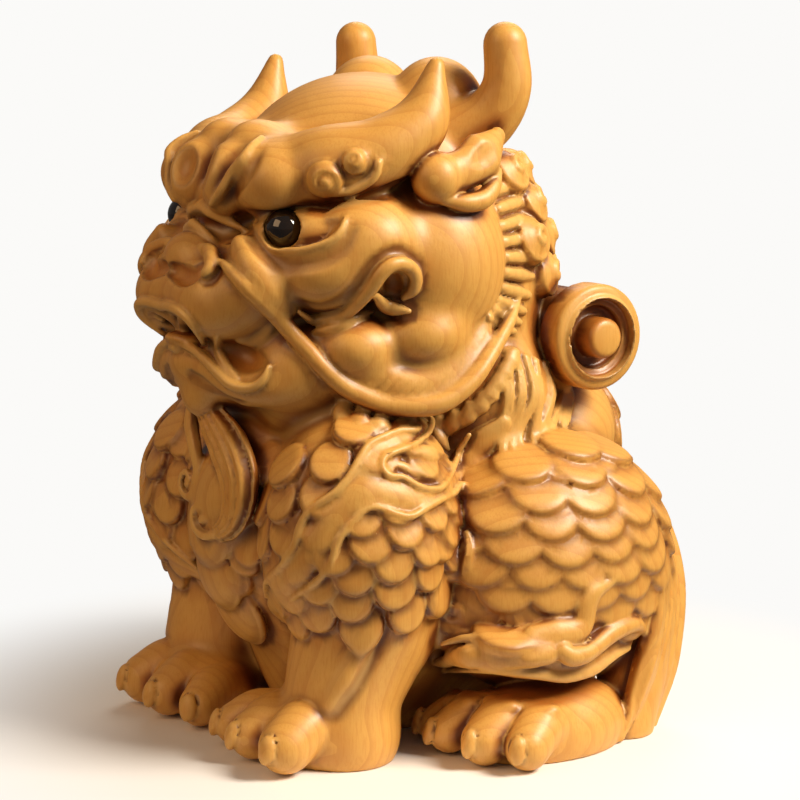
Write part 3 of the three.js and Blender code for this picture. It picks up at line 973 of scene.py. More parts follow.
@dataclass
class Mane(Carving):
    """The ribs behind the cheeks, the snail curls over the neck and the hair below them."""

    ribs: int = 10
    rib_half: float = 0.95
    cheek_edge: tuple[Point, ...] = (
        (19.6, 13.8, 71.5), (21.0, 13.4, 66.3), (21.5, 13.0, 61.7), (21.5, 11.7, 57.6), (22.0, 9.2, 55.4))
    mane_edge: tuple[Point, ...] = (
        (16.4, 20.8, 72.5), (18.0, 20.6, 67.0), (19.0, 19.2, 61.0), (19.0, 17.2, 55.8), (19.6, 14.9, 52.9))
    locks: int = 7
    lock_top: PixelPath = ((506, 352), (9.5, 3.0))
    lock_end: PixelPath = ((503, 466), (10.5, -6.0))
    lock_sizes: tuple[float, ...] = (0.6, 1.05, 1.05, 0.3)
    lock_sway: float = 2.5
    lock_bend: Point = (0.62, 0.38, 394)
    lock_kink: Point = (0.3, 0.7, 430)
    curl_rows: tuple[float, ...] = (77.4, 71.2, 65.0, 58.8)
    curl_radius: float = 3.3
    curl_step: float = 25.0
    curl_sweep: float = 68.0
    middle: Point = (0.0, 10.0, 62.0)

    def _curls(self, block: CarvingBlock) -> list[Point]:
        """Works out the middle of each curl, staggered in rows round the back of the neck.

        Args:
            block: the roughed wood.

        Returns:
            The middles, on the left side and the middle line.
        """
        found = []
        _, back, high = self.middle
        for row, height in enumerate(self.curl_rows):
            turn = 0.0 if row % 2 else 0.5 * self.curl_step
            aim = np.array([0.0, back, height - 0.5 * (height - high)])
            while turn < self.curl_sweep:
                way = (1.15 * math.sin(math.radians(turn)), math.cos(math.radians(turn)))
                start = np.array([[40 * way[0], back + 40 * way[1], height]])
                place, met = block.struck(start, aim, 44)
                if met[0]:
                    found.append(tuple(place[0]))
                turn += self.curl_step
        return found

    def relieve(self, block: CarvingBlock) -> None:
        """Cuts the ribs, the curls' coils and the hair."""
        ins = smooth_path(np.array(self.cheek_edge), self.ribs)
        outs = smooth_path(np.array(self.mane_edge), self.ribs)
        for start, end in zip(ins, outs):
            middle = (start + end) / 2
            sizes = (0.8 * self.rib_half, self.rib_half, 0.5)
            path = (tuple(start), tuple(middle), tuple(end))
            block.carve(Strand(path, sizes, flat=0.7, soft=0.08, rise=0.15))
        for at in self._curls(block):
            sides = Sides.BOTH if at[0] > 1 else Sides.MIDDLE
            block.carve(Volute(at, self.curl_radius, turns=1.6, first=90, size=0.6, dome=2.3), sides)
        edges = (self.lock_top, self.lock_end)
        for lock in range(self.locks):
            high, low = (tuple(at + step * lock for at, step in zip(*edge)) for edge in edges)
            sway = self.lock_sway * (1 + lock % 3)
            bend, kink = (
                (way * sway + high[0] * top + low[0] * end, row)
                for way, (top, end, row) in ((1, self.lock_bend), (-1, self.lock_kink)))
            path = (high, bend, kink, low)
            block.carve(Strand(path, self.lock_sizes, flat=0.7, soft=0.25, rise=0.2, flutes=2, groove=0.25))


@dataclass
class Beard(Carving):
    """The fluted beard that swings to the left and rolls up, with a thin lock beside it."""

    root: Mass = Mass((0.4, -19.4, 45.6), (3.2, 2.6, 3.2), soft=1.0)
    bed: Mass = Mass((2.6, -17.6, 32.0), (5.4, 2.6, 6.0), soft=1.6)
    lock: Strand = Strand(
        ((0.1, -19.0, 44.9), (1.8, -18.9, 42.4), (5.2, -18.5, 39.1), (7.5, -18.4, 35.8), (7.9, -18.7, 32.4),
         (6.7, -19.2, 29.7), (4.4, -19.6, 28.2), (2.2, -19.9, 27.8)),
        (1.8, 2.4, 3.3, 3.3, 2.8, 2.1, 1.3, 0.7), flat=0.6, up=(0.2, -0.97, 0.1), soft=0.2, flutes=5,
        groove=0.6)
    curl: Strand = Strand(
        ((4.4, -20.2, 27.8), (2.0, -20.4, 27.4), (0, -20.5, 28.3), (-0.5, -20.5, 30.0), (0.6, -20.2, 31.2),
         (2.1, -20.0, 30.9), (2.6, -20.0, 29.9), (1.6, -20.2, 29.4)),
        (0.45, 0.6, 0.6, 0.55, 0.55, 0.55, 0.55, 0.7), soft=0.15)
    thin: Strand = Strand(
        ((-2.1, -19.1, 44.5), (-2.6, -19.5, 41.3), (-1.4, -19.7, 38.3), (-0.6, -19.7, 36.1),
         (-0.8, -19.9, 33.8), (-1.8, -20.0, 32.0), (-3.3, -20.1, 31.7), (-4.4, -20.2, 32.7),
         (-4.3, -20.1, 34.1), (-3.3, -19.9, 34.8), (-2.6, -19.9, 33.9), (-3.1, -20.0, 33.1)),
        (1.0, 1.1, 1.0, 0.8, 0.7, 0.65, 0.6, 0.55, 0.5, 0.5, 0.5, 0.55), flat=0.85, up=(0.2, -0.97, 0.1),
        soft=0.2, flutes=2, groove=0.22)

    def relieve(self, block: CarvingBlock) -> None:
        """Cuts the locks."""
        block.carve(self.root, Sides.MIDDLE)
        for form in (self.bed, self.thin, self.lock, self.curl):
            block.carve(form, Sides.LEFT)


@dataclass
class Foreleg(Carving):
    """The scaled shoulder and foreleg with its flame, and the bare wrist and toes."""

    shoulder: Mass = Mass((15.4, -5.5, 29.5), (10.8, 12.2, 15.6), soft=2.5)
    limb: Strand = Strand(
        ((16.5, -5.2, 27), (16.2, -5.0, 17.5), (16, -6.6, 13), (16, -8.3, 8), (16.2, -8.6, 3)),
        (11, 9.6, 8.3, 7.3, 7.0), soft=2)
    heel: Mass = Mass((16.3, -8.3, 3.4), (6.9, 6.0, 5.0), soft=2)
    paw: Mass = Mass((12.4, -13, 3.6), (7.8, 6.4, 4.8), (0, 0, -15), soft=2)
    toes: tuple[Strand, ...] = (
        Strand(((16.8, -10.8, 5.2), (17.9, -15.2, 5.2), (18.8, -18.4, 3.6)), (3.2, 3.8, 3.3), soft=0.45),
        Strand(((12.4, -11.5, 5.2), (11.8, -15.8, 5.0), (11.5, -18.8, 3.4)), (3.0, 3.5, 3.0), soft=0.45),
        Strand(((8.2, -11.5, 4.6), (6.2, -15.0, 4.4), (4.9, -17.6, 3.0)), (2.6, 3.1, 2.7), soft=0.45),
    )
    tendon: Strand = Strand(
        ((383, 626), (373, 646), (357, 673), (343, 697), (335, 713)), (0.4, 0.9, 1.1, 1.0, 0.4), soft=1.6,
        rise=0.4)
    tendon_ridge: Strand = Strand(
        ((369, 632), (361, 654), (346, 682), (331, 706)), (0.4, 0.8, 0.9, 0.4), soft=1.8, rise=-0.2)
    flame: Strand = Strand(
        ((501, 423), (485, 438), (471, 458), (456, 478), (436, 493), (412, 500), (388, 496), (364, 494),
         (346, 507), (329, 527), (316, 549), (299, 572), (284, 590), (279, 603), (286, 617)),
        (1.2, 1.9, 2.0, 1.7, 1.3, 1.5, 1.9, 2.3, 1.9, 1.75, 1.8, 1.8, 1.7, 1.4, 0.5), flat=0.5, soft=0.3,
        rise=0.5)
    flame_branch: Strand = Strand(
        ((413, 419), (408, 428), (396, 441), (379, 453), (367, 468), (362, 486)),
        (0.9, 1.2, 1.4, 1.6, 1.7, 1.6), flat=0.45, soft=0.3, rise=0.5)
    flame_rims: tuple[Strand, ...] = (
        Strand(((409, 419), (406, 427), (397, 435), (383, 440), (368, 448), (359.5, 460), (349.5, 478),
                (334.5, 494.5), (314.5, 509.5), (304.5, 525), (299.5, 544), (289, 562), (275, 578),
                (273, 590)), (0.35, 0.45, 0.45, 0.45, 0.5, 0.5, 0.5, 0.5, 0.5, 0.5, 0.5, 0.5, 0.45, 0.3),
               soft=0.25, rise=1.1),
        Strand(((478, 498), (459, 493), (446, 494.5), (434, 501), (419, 510), (406, 517.5), (392.5, 514.5),
                (374.5, 508), (363, 511), (349.5, 526), (339.5, 541), (333, 560), (321.5, 576), (303, 590),
                (292, 600)), (0.3, 0.45, 0.5, 0.5, 0.5, 0.5, 0.5, 0.5, 0.5, 0.5, 0.5, 0.5, 0.45, 0.4, 0.3),
               soft=0.25, rise=1.05),
        Strand(((470, 430), (460, 450), (450, 471), (436, 487), (422.5, 491), (409, 486), (398, 479),
                (386, 478), (379, 469.5), (382, 460), (392, 455), (405, 450), (420, 439), (426, 428),
                (425, 419)),
               (0.35, 0.4, 0.45, 0.45, 0.45, 0.45, 0.45, 0.45, 0.45, 0.45, 0.45, 0.4, 0.4, 0.4, 0.3),
               soft=0.2, rise=1.2),
    )
    inlay: tuple[Strand, ...] = (
        Strand(((387, 467), (399, 468), (411, 475), (425, 477)), (0.3, 0.7, 0.75, 0.3), flat=0.7, soft=0.15,
               rise=0.7),
        Strand(((403, 459), (416, 455), (428, 456), (440, 460)), (0.3, 1.0, 1.1, 0.4), flat=0.6, soft=0.15,
               rise=0.7),
        Strand(((431, 428), (438, 438), (444, 449)), (0.3, 0.95, 0.4), flat=0.6, soft=0.15, rise=0.7),
    )
    rear_curl: Volute = Volute((23.4, 4.6, 19.8), 2.2, 1.4, 1, 60, 0.7, 1.0)
    rear_tuft: Strand = Strand(
        ((468, 535), (470, 550), (467, 565), (461, 577)), (0.6, 1.2, 1.2, 0.5), flat=0.8, soft=0.2,
        rise=0.8, flutes=3, groove=0.25)
    claw_half: Point = (1.3, 0.85, 1.9)
    coat: ScaleCoat = ScaleCoat(
        (15.8, -5.5, 31), 12.6, 5.0, 3.55, (84, -84), (-128, 80), low=(4.5, -40, 17.2),
        high=(50, 9.5, 43.5), lift=12, thick=0.9, stretch=1.12, lean=-14, climb=0.3)

    def rough_out(self, block: CarvingBlock) -> None:
        """Carves the limb and the paw."""
        for form in (self.shoulder, self.limb, self.heel, self.paw, *self.toes):
            block.carve(form)

    def relieve(self, block: CarvingBlock) -> None:
        """Laps the scales and cuts the flame, the tendon and the claws."""
        block.carve(self.tendon, cut=Cut.GOUGE)
        self.coat.lay(block, 11)
        block.carve(self.flame_branch)
        block.carve(self.flame)
        for form in (self.tendon_ridge, *self.flame_rims, *self.inlay, self.rear_tuft, self.rear_curl):
            block.carve(form)
        for toe in self.toes:
            cut_claw(block, toe, self.claw_half)


@dataclass
class Hindleg(Carving):
    """The scaled haunch with its flames, and the hind foot."""

    haunch: Mass = Mass((19.6, 19.6, 22.5), (13.0, 17.6, 17.2), soft=3)
    sole: Mass = Mass((26.5, 16.0, 2.8), (7.6, 11.8, 6.4), (0, 0, 4), 1.0)
    toes: tuple[Strand, ...] = (
        Strand(((22.0, 10.0, 4.6), (19.6, 6.4, 4.2), (17.8, 4.4, 2.6)), (2.4, 2.6, 2.2), soft=0.5),
        Strand(((24.6, 11.0, 5.0), (23.4, 6.2, 4.6), (22.5, 3.4, 2.9)), (2.8, 3.1, 2.6), soft=0.5),
        Strand(((27.8, 12.5, 5.2), (28.4, 7.4, 4.8), (29.0, 4.4, 3.1)), (3.1, 3.5, 2.9), soft=0.5),
        Strand(((30.2, 15.0, 4.8), (32.0, 10.6, 4.6), (33.6, 7.6, 3.0)), (3.0, 3.4, 2.8), soft=0.5),
    )
    flames: tuple[Strand, ...] = (
        Strand(((440, 660), (462, 656), (484, 655), (504, 655), (524, 651), (544, 648), (562, 648)),
               (0.8, 1.5, 1.7, 1.8, 2.2, 2.4, 1.4), flat=0.6, soft=0.6, rise=0.4),
        Strand(((530, 640), (550, 637), (568, 631), (578, 616), (581, 601), (589, 589), (606, 580)),
               (1.2, 1.9, 1.9, 1.6, 1.4, 1.2, 0.4), flat=0.7, soft=0.4, rise=1.3),
        Strand(((446, 641), (466, 640), (486, 641), (506, 640), (522, 632)), (0.3, 0.55, 0.65, 0.65, 0.5),
               soft=0.3, rise=0.8),
        Strand(((558, 652), (566, 656), (579, 654), (591, 646), (602, 634), (615, 624), (628, 622),
                (638, 629)), (1.2, 1.4, 1.3, 1.3, 1.4, 1.4, 1.1, 0.4), soft=0.3, rise=1.0),
        Strand(((446, 670), (480, 668), (510, 670), (540, 674), (566, 676), (592, 669), (612, 656),
                (628, 648)), (0.3, 0.6, 0.7, 0.7, 0.8, 0.8, 0.6, 0.3), soft=0.6, rise=0.1),
    )
    thigh_edge: Strand = Strand(
        ((21.0, 3.2, 16.0), (25.6, 4.6, 14.9), (29.0, 8.0, 13.9), (30.6, 13.5, 13.0), (30.2, 19.0, 12.8),
         (28.6, 25.0, 13.4)), (1.6, 2.6, 2.9, 2.9, 2.7, 2.2), soft=2.0)
    claw_half: Point = (1.1, 0.85, 1.9)
    knuckle_half: Point = (1.25, 1.35, 0.9)
    coat: ScaleCoat = ScaleCoat(
        (20, 19, 22), 16.5, 7.4, 3.35, (74, -36), (-78, 78), low=(9, -2, 16.6), high=(50, 38.5, 45),
        lift=10.5, thick=1.12, lean=-6, brow=3.4)

    def rough_out(self, block: CarvingBlock) -> None:
        """Carves the haunch and the foot."""
        for form in (self.haunch, self.thigh_edge, self.sole, *self.toes):
            block.carve(form)

    def relieve(self, block: CarvingBlock) -> None:
        """Laps the scales and cuts the flames, the knuckles and the claws."""
        self.coat.lay(block, 12)
        for strand in self.flames:
            block.carve(strand)
        for toe in self.toes:
            way = cut_claw(block, toe, self.claw_half)
            before, thick = np.array(toe.path[-2]), toe.sizes[1]
            for side in (-1, 1):
                knuckle = before + 0.45 * thick * side * np.cross(way, (0, 0, 1)) + (0, 0, 0.72 * thick)
                block.carve(Mass(tuple(knuckle), self.knuckle_half, soft=0.4))


@dataclass
class Tail(Carving):
    """The parted tail that falls in locks behind both haunches."""

    mass: Strand = Strand(
        ((4, 34.7, 34), (13, 35, 28), (20.2, 35, 20), (24.6, 31.6, 9.5), (26.6, 28, 1)),
        (3, 4.0, 4.6, 4.6, 4.2), soft=1)
    first: tuple[Point, ...] = (
        (15.6, 36.6, 33.0), (19.8, 39.4, 25.0), (22.8, 39.4, 17.0), (25.4, 36.4, 8.0), (26.8, 32.6, 0.6))
    last: tuple[Point, ...] = (
        (26.0, 31.0, 30.0), (28.6, 31.4, 23.6), (29.8, 30.6, 16.0), (30.4, 28.0, 8.0), (30.6, 24.6, 1.0))
    inner: tuple[Point, ...] = (
        (2.4, 39.4, 34.0), (5.0, 41.4, 26.0), (10.0, 41.6, 17.0), (15.4, 39.2, 8.0), (19.4, 36.2, 0.6))
    locks: int = 6
    inner_locks: int = 4
    sizes: tuple[float, ...] = (0.6, 1.7, 1.8, 1.6, 1.0)
    edge_sizes: tuple[float, ...] = (0.8, 1.9, 2.0, 1.9, 1.2)
    inner_sizes: tuple[float, ...] = (0.8, 2.0, 2.1, 1.9, 1.2)

    def rough_out(self, block: CarvingBlock) -> None:
        """Carves the mass."""
        block.carve(self.mass)

    def relieve(self, block: CarvingBlock) -> None:
        """Cuts the locks, from the middle of the back round to the haunch."""
        first, last, inner = (np.array(edge) for edge in (self.first, self.last, self.inner))
        for lock in range(self.locks):
            share = lock / (self.locks - 1)
            path = first + (last - first) * share
            path[:, 2] += 0.5 * math.sin(5 * lock)
            sizes = self.sizes if lock else self.edge_sizes
            block.carve(Strand(tuple(map(tuple, path)), sizes, flat=0.85, soft=0.15, flutes=2, groove=0.3))
        for lock in range(self.inner_locks):
            path = tuple(map(tuple, inner + (first - inner) * lock / self.inner_locks))
            block.carve(Strand(path, self.inner_sizes, flat=0.8, soft=0.15, flutes=3, groove=0.3, rise=0.3))


@dataclass
class Scroll(Carving):
    """The furled scroll lying across the back under the mane."""

    y: float = 27.0
    z: float = 51.6
    half_length: float = 20.4
    radius: float = 6.2

    def rough_out(self, block: CarvingBlock) -> None:
        """Carves the roll."""
        ends = ((-self.half_length, self.y, self.z), (self.half_length, self.y, self.z))
        block.carve(Strand(ends, (self.radius - 0.3,) * 2, soft=0.6), Sides.MIDDLE)

    def relieve(self, block: CarvingBlock) -> None:
        """Turns the ends: a rim, a stepped hollow and the rod's knob."""
        rim = (18.0, 22.3, self.radius + 0.7, 0.75, Cut.RAISE)
        step = (21.5, 30.0, 5.1, 0.45, Cut.GOUGE)
        hollow = (20.3, 30.0, 4.1, 0.45, Cut.GOUGE)
        knob = (16.0, 23.8, 2.65, 0.9, Cut.RAISE)
        for disc in (rim, step, hollow, knob):
            self._disc(block, *disc)

    def _disc(self, block: CarvingBlock, start: float, end: float, radius: float, edge: float,
              cut: Cut) -> None:
        """Raises or gouges a round disc about the roll's axis on both sides.

        Args:
            block: the wood.
            start: where it starts along X.
            end: where it ends.
            radius: its radius.
            edge: the radius of its rounded edge.
            cut: raise or gouge.
        """
        for side in Sides.BOTH.signs:
            low = np.array([min(start * side, end * side) - 2, self.y - radius - 2, self.z - radius - 2])
            high = np.array([max(start * side, end * side) + 2, self.y + radius + 2, self.z + radius + 2])
            where, (x, y, z) = block.window(low, high)
            out = np.sqrt((y - self.y) ** 2 + (z - self.z) ** 2) - radius + edge
            along = np.abs(x * side - (start + end) / 2) - (end - start) / 2 + edge
            outside = np.sqrt(np.maximum(out, 0) ** 2 + np.maximum(along, 0) ** 2)
            block.merge(where, outside + np.minimum(np.maximum(out, along), 0) - edge, 0.3, cut)


PARTS = (Trunk, Head, Foreleg, Hindleg, Brows, Crest, Mane, Scroll, Tail, Eyes, Muzzle, Whiskers, Beard)


def rough_block(cell: float) -> CarvingBlock:
    """Roughs the beast out of the block.

    Args:
        cell: the grid's spacing.

    Returns:
        The roughed block.
    """
    block = CarvingBlock((-41, -31, -2), (41, 49, 94), cell)
    for part in PARTS:
        part().rough_out(block)
    block.level(0)
    return block


def carved_block(cell: float) -> CarvingBlock:
    """Carves the whole beast.

    Args:
        cell: the grid's spacing.

    Returns:
        The finished block.
    """
    block = rough_block(cell)
    block.remember()
    for part in PARTS:
        part().relieve(block)
    block.level(0)
    return block


def linear(code: str) -> tuple[float, float, float, float]:
    """Turns an sRGB hex colour into the linear colour that a shader socket takes.

    Args:
        code: the colour, such as "#D79A4A".

    Returns:
        Red, green, blue and an alpha of one.
    """
    parts = [int(code[k:k + 2], 16) / 255 for k in (1, 3, 5)]
    light = [part / 12.92 if part <= 0.04045 else ((part + 0.055) / 1.055) ** 2.4 for part in parts]
    return (light[0], light[1], light[2], 1.0)


def add_node(tree: bpy.types.NodeTree, kind: str, settings: dict[str, object],
             inputs: dict[str, object]) -> bpy.types.Node:
    """Adds a node with its settings, values and links.

    Args:
        tree: the tree it goes into.
        kind: Blender's name for the kind of node.
        settings: the node's own settings.
        inputs: for each socket, by name or identifier, a value or the socket that feeds it.

    Returns:
        The new node.
    """
    node = tree.nodes.new(kind)
    for name, value in settings.items():
        setattr(node, name, value)
    for name, value in inputs.items():
        socket = next(one for one in node.inputs if name in (one.identifier, one.name))
        if isinstance(value, bpy.types.NodeSocket):
            tree.links.new(value, socket)
        else:
            socket.default_value = value
    return node


def mixed(tree: bpy.types.NodeTree, share: object, one: object, other: object) -> bpy.types.NodeSocket:
    """Mixes two colours.

    Args:
        tree: the tree it goes into.
        share: how much of the second shows, a value or a socket.
        one: the first colour or its socket.
        other: the second.

    Returns:
        The mixed colour's socket.
    """
    sockets = {"Factor_Float": share, "A_Color": one, "B_Color": other}
    return add_node(tree, "ShaderNodeMix", {"data_type": "RGBA"}, sockets).outputs[2]


def eased(tree: bpy.types.NodeTree, value: bpy.types.NodeSocket, start: float, end: float,
          most: float = 1.0) -> bpy.types.NodeSocket:
    """Turns a range of a value into a share that sets in and ends softly.

    Args:
        tree: the tree it goes into.
        value: the value's socket.
        start: where the share is still nothing.
        end: where it is full.
        most: the full share.

    Returns:
        The share's socket.
    """
    ranges = {"Value": value, "From Min": start, "From Max": end, "To Min": 0.0, "To Max": most}
    node = add_node(tree, "ShaderNodeMapRange", {"interpolation_type": "SMOOTHSTEP"}, ranges)
    return node.outputs["Result"]


def noise(tree: bpy.types.NodeTree, place: bpy.types.NodeSocket, size: float,
          detail: float = 2.0) -> bpy.types.NodeSocket:
    """Makes a soft noise.

    Args:
        tree: the tree it goes into.
        place: the coordinates.
        size: the size of its cells in millimetres.
        detail: how many finer noises it carries.

    Returns:
        The noise's value.
    """
    settings = {"Vector": place, "Scale": 1 / (size * MM), "Detail": detail}
    return add_node(tree, "ShaderNodeTexNoise", {}, settings).outputs["Fac"]


def bare_material(name: str) -> bpy.types.Material:
    """Makes an empty material with nodes."""
    material = bpy.data.materials.new(name)
    material.use_nodes = True
    material.node_tree.nodes.clear()
    return material


@dataclass(frozen=True)
class WaxedBoxwood:
    """Carved boxwood, rubbed with wax, with painted shade in its cuts.

    Boxwood is dense and very fine grained: the eye gets a honey gold, with growth rings as faint lines on the
    broad faces and a satin polish. Painted shade turns the broad hollows orange and the narrow cuts dark
    brown, and a painted highlight makes raised edges paler.
    """

    name: str = "waxed_carved_boxwood"
    face: str = "#D9A148"
    # pale is the light tone of the mottle and also the painted highlight on raised edges
    pale: str = "#E7BA69"
    warm: str = "#C98634"
    # painted shade: orange in broad hollows, dark brown in narrow cuts
    hollow: str = "#9C4F12"
    crease_shade: str = "#5E2807"
    ring: str = "#B9722A"
    ring_spacing: float = 1.3
    mottle_size: float = 11.0
    fibre_width: float = 0.22
    fibre_length: float = 2.4
    stipple_size: float = 0.3
    pith: Point = (-34.0, 30.0, 0.0)
    evenness: float = 0.55
    # how strongly the painted shade in broad hollows and narrow cuts sets in
    hollow_shade_share: Point = (0.08, 0.9, 0.75)
    crease_shade_share: Point = (0.05, 0.55, 0.85)
    # how strongly the painted highlight on raised edges sets in
    ridge_highlight_share: Point = (0.1, 0.6, 0.4)
    ring_share: Point = (0.5, 1.0, 0.3)
    ring_bend: Point = (3.0, 2.0, 0.14)
    fleck_share: Point = (0.46, 0.72, 0.42)
    stipple_bump: tuple[float, float] = (0.45, 0.03)
    knife_bump: tuple[float, float] = (0.35, 0.12)
    scatter: float = 0.06
    scatter_reach: float = 0.6
    scatter_colour: Point = (1.0, 0.4, 0.12)
    coat: float = 0.14
    coat_rough: float = 0.28
    ior: float = 1.5
    rough: tuple[float, float] = (0.5, 0.36)

    def material(self) -> bpy.types.Material:
        """Builds the material.

        Returns:
            The finished material.
        """
        material = bare_material(self.name)
        tree = material.node_tree
        place = add_node(tree, "ShaderNodeTexCoord", {}, {}).outputs["Object"]
        # relief measures that place the painted shade in hollows and cuts and the painted highlight on raised
        # edges
        hollow, crease, ridge = (
            add_node(tree, "ShaderNodeAttribute", {"attribute_name": name}, {}).outputs["Fac"]
            for name in ("hollow", "crease", "ridge"))
        colour = self._colour(tree, place, hollow, crease, ridge)
        rough = add_node(tree, "ShaderNodeMapRange", {},
                         {"Value": hollow, "To Min": self.rough[0], "To Max": self.rough[1]})
        shader = add_node(tree, "ShaderNodeBsdfPrincipled", {"subsurface_method": "BURLEY"}, {
            "Base Color": colour, "Roughness": rough.outputs["Result"], "IOR": self.ior,
            "Subsurface Weight": self.scatter, "Subsurface Radius": self.scatter_colour,
            "Subsurface Scale": self.scatter_reach * MM, "Coat Weight": self.coat,
            "Coat Roughness": self.coat_rough, "Normal": self._bump(tree, place)})
        add_node(tree, "ShaderNodeOutputMaterial", {}, {"Surface": shader.outputs["BSDF"]})
        return material

    def _colour(self, tree: bpy.types.NodeTree, place: bpy.types.NodeSocket, hollow: bpy.types.NodeSocket,
                crease: bpy.types.NodeSocket, ridge: bpy.types.NodeSocket) -> bpy.types.NodeSocket:
        """Lays the wood's colours over each other, with painted shade in hollows and cuts and a painted
        highlight on raised edges.

        Args:
            tree: the material's tree.
            place: the object coordinates.
            hollow: how far a place lies in a broad hollow, where shade is painted.
            crease: how far it lies in a narrow cut, where darker shade is painted.
            ridge: how far it stands on an edge, where a highlight is painted.

        Returns:
            The colour's socket.
        """
        mottle = noise(tree, place, self.mottle_size, 3.0)
        base = mixed(tree, mottle, linear(self.warm), linear(self.pale))
        body = mixed(tree, self.evenness, base, linear(self.face))
        centred = add_node(tree, "ShaderNodeMapping", {},
                           {"Vector": place, "Location": tuple(-part * MM for part in self.pith)})
        kind = {"wave_type": "RINGS", "rings_direction": "Z", "wave_profile": "SAW"}
        distortion, detail, fineness = self.ring_bend
        rings = add_node(tree, "ShaderNodeTexWave", kind, {
            "Vector": centred.outputs["Vector"], "Scale": math.pi / 10 / (self.ring_spacing * MM),
            "Distortion": distortion, "Detail": detail, "Detail Scale": fineness})
        ringed = mixed(tree, eased(tree, rings.outputs["Fac"], *self.ring_share), body, linear(self.ring))
        fibres = add_node(tree, "ShaderNodeMapping", {},
                          {"Vector": place, "Scale": (1.0, 1.0, self.fibre_width / self.fibre_length)})
        fleck = noise(tree, fibres.outputs["Vector"], self.fibre_width)
        start, end, most = self.fleck_share
        flecks = add_node(tree, "ShaderNodeMapRange", {}, {
            "Value": fleck, "From Min": start, "From Max": end, "To Min": 0.0, "To Max": most})
        colour = mixed(tree, flecks.outputs["Result"], ringed, linear(self.warm))
        # painted shade darkens broad hollows and narrow cuts; a painted highlight pales raised edges
        for value, (start, end, most), tone in ((hollow, self.hollow_shade_share, self.hollow),
                                                (crease, self.crease_shade_share, self.crease_shade),
                                                (ridge, self.ridge_highlight_share, self.pale)):
            colour = mixed(tree, eased(tree, value, start, end, most), colour, linear(tone))
        return colour

    def _bump(self, tree: bpy.types.NodeTree, place: bpy.types.NodeSocket) -> bpy.types.NodeSocket:
        """Makes the fine tooth of the wood and the soft marks of the knife.

        Args:
            tree: the material's tree.
            place: the object coordinates.

        Returns:
            The normal's socket.
        """
        stipple = noise(tree, place, self.stipple_size)
        knife = noise(tree, place, 6 * self.stipple_size, 1.0)
        strength, depth = self.knife_bump
        marks = add_node(tree, "ShaderNodeBump", {},
                         {"Height": knife, "Strength": strength, "Distance": depth * MM})
        strength, depth = self.stipple_bump
        tooth = add_node(tree, "ShaderNodeBump", {}, {
            "Height": stipple, "Strength": strength, "Distance": depth * MM,
            "Normal": marks.outputs["Normal"]})
        return tooth.outputs["Normal"]


@dataclass(frozen=True)
class PolishedBead:
    """A black bead of polished resin: a sharp small highlight on a near black with a brown depth."""

    name: str = "polished_black_resin"
    dark: str = "#0C0906"
    brown: str = "#2A1A0C"
    cloud_size: float = 2.0
    ior: float = 1.54
    rough: float = 0.06
    coat: float = 0.6
    coat_rough: float = 0.03

    def material(self) -> bpy.types.Material:
        """Builds the material.

        Returns:
            The finished material.
        """
        material = bare_material(self.name)
        tree = material.node_tree
        place = add_node(tree, "ShaderNodeTexCoord", {}, {}).outputs["Object"]
        colour = mixed(tree, noise(tree, place, self.cloud_size), linear(self.dark), linear(self.brown))
        shader = add_node(tree, "ShaderNodeBsdfPrincipled", {}, {
            "Base Color": colour, "Roughness": self.rough, "IOR": self.ior, "Coat Weight": self.coat,
            "Coat Roughness": self.coat_rough})
        add_node(tree, "ShaderNodeOutputMaterial", {}, {"Surface": shader.outputs["BSDF"]})
        return material


@dataclass(frozen=True)
class PaleFloor:
    """A matt white studio floor with a hardly seen cloud in its tone.

    Away from the figure it glows as evenly as the backdrop, so that no line parts the two.
    """

    name: str = "matt_white_floor"
    tone: str = "#F4F2EF"
    cloud: str = "#F0EEEA"
    cloud_size: float = 250.0
    backdrop: str = "#FBFAF8"
    dim: float = 0.08
    rough: float = 0.9
    gloss: float = 0.2
    matt_within: float = 32.0
    glows_beyond: float = 84.0

    def material(self) -> bpy.types.Material:
        """Builds the material.

        Returns:
            The finished material.
        """
        material = bare_material(self.name)
        tree = material.node_tree
        place = add_node(tree, "ShaderNodeTexCoord", {}, {}).outputs["Object"]
        colour = mixed(tree, noise(tree, place, self.cloud_size), linear(self.tone), linear(self.cloud))
        shader = add_node(tree, "ShaderNodeBsdfPrincipled", {}, {
            "Base Color": colour, "Roughness": self.rough, "Specular IOR Level": self.gloss})
        away = add_node(tree, "ShaderNodeVectorMath", {"operation": "LENGTH"}, {"Vector": place})
        share = eased(tree, away.outputs["Value"], self.matt_within * MM, self.glows_beyond * MM)
        seen = add_node(tree, "ShaderNodeLightPath", {}, {}).outputs["Is Camera Ray"]
        strength = add_node(tree, "ShaderNodeMapRange", {},
                            {"Value": seen, "To Min": self.dim, "To Max": 1.0})
        glow = add_node(tree, "ShaderNodeEmission", {},
                        {"Color": linear(self.backdrop), "Strength": strength.outputs["Result"]})
        both = add_node(tree, "ShaderNodeMixShader", {}, {
            "Fac": share, "Shader": shader.outputs["BSDF"],
            "Shader_001": glow.outputs["Emission"]})
        add_node(tree, "ShaderNodeOutputMaterial", {}, {"Surface": both.outputs["Shader"]})
        return material


def in_row(place: Point) -> tuple[float, float, float]:
    """Takes a place from the carver's frame in millimetres to the row's frame in metres."""
    return (place[0] * MM, (place[1] - FOOTPRINT_MID_Y) * MM, place[2] * MM)


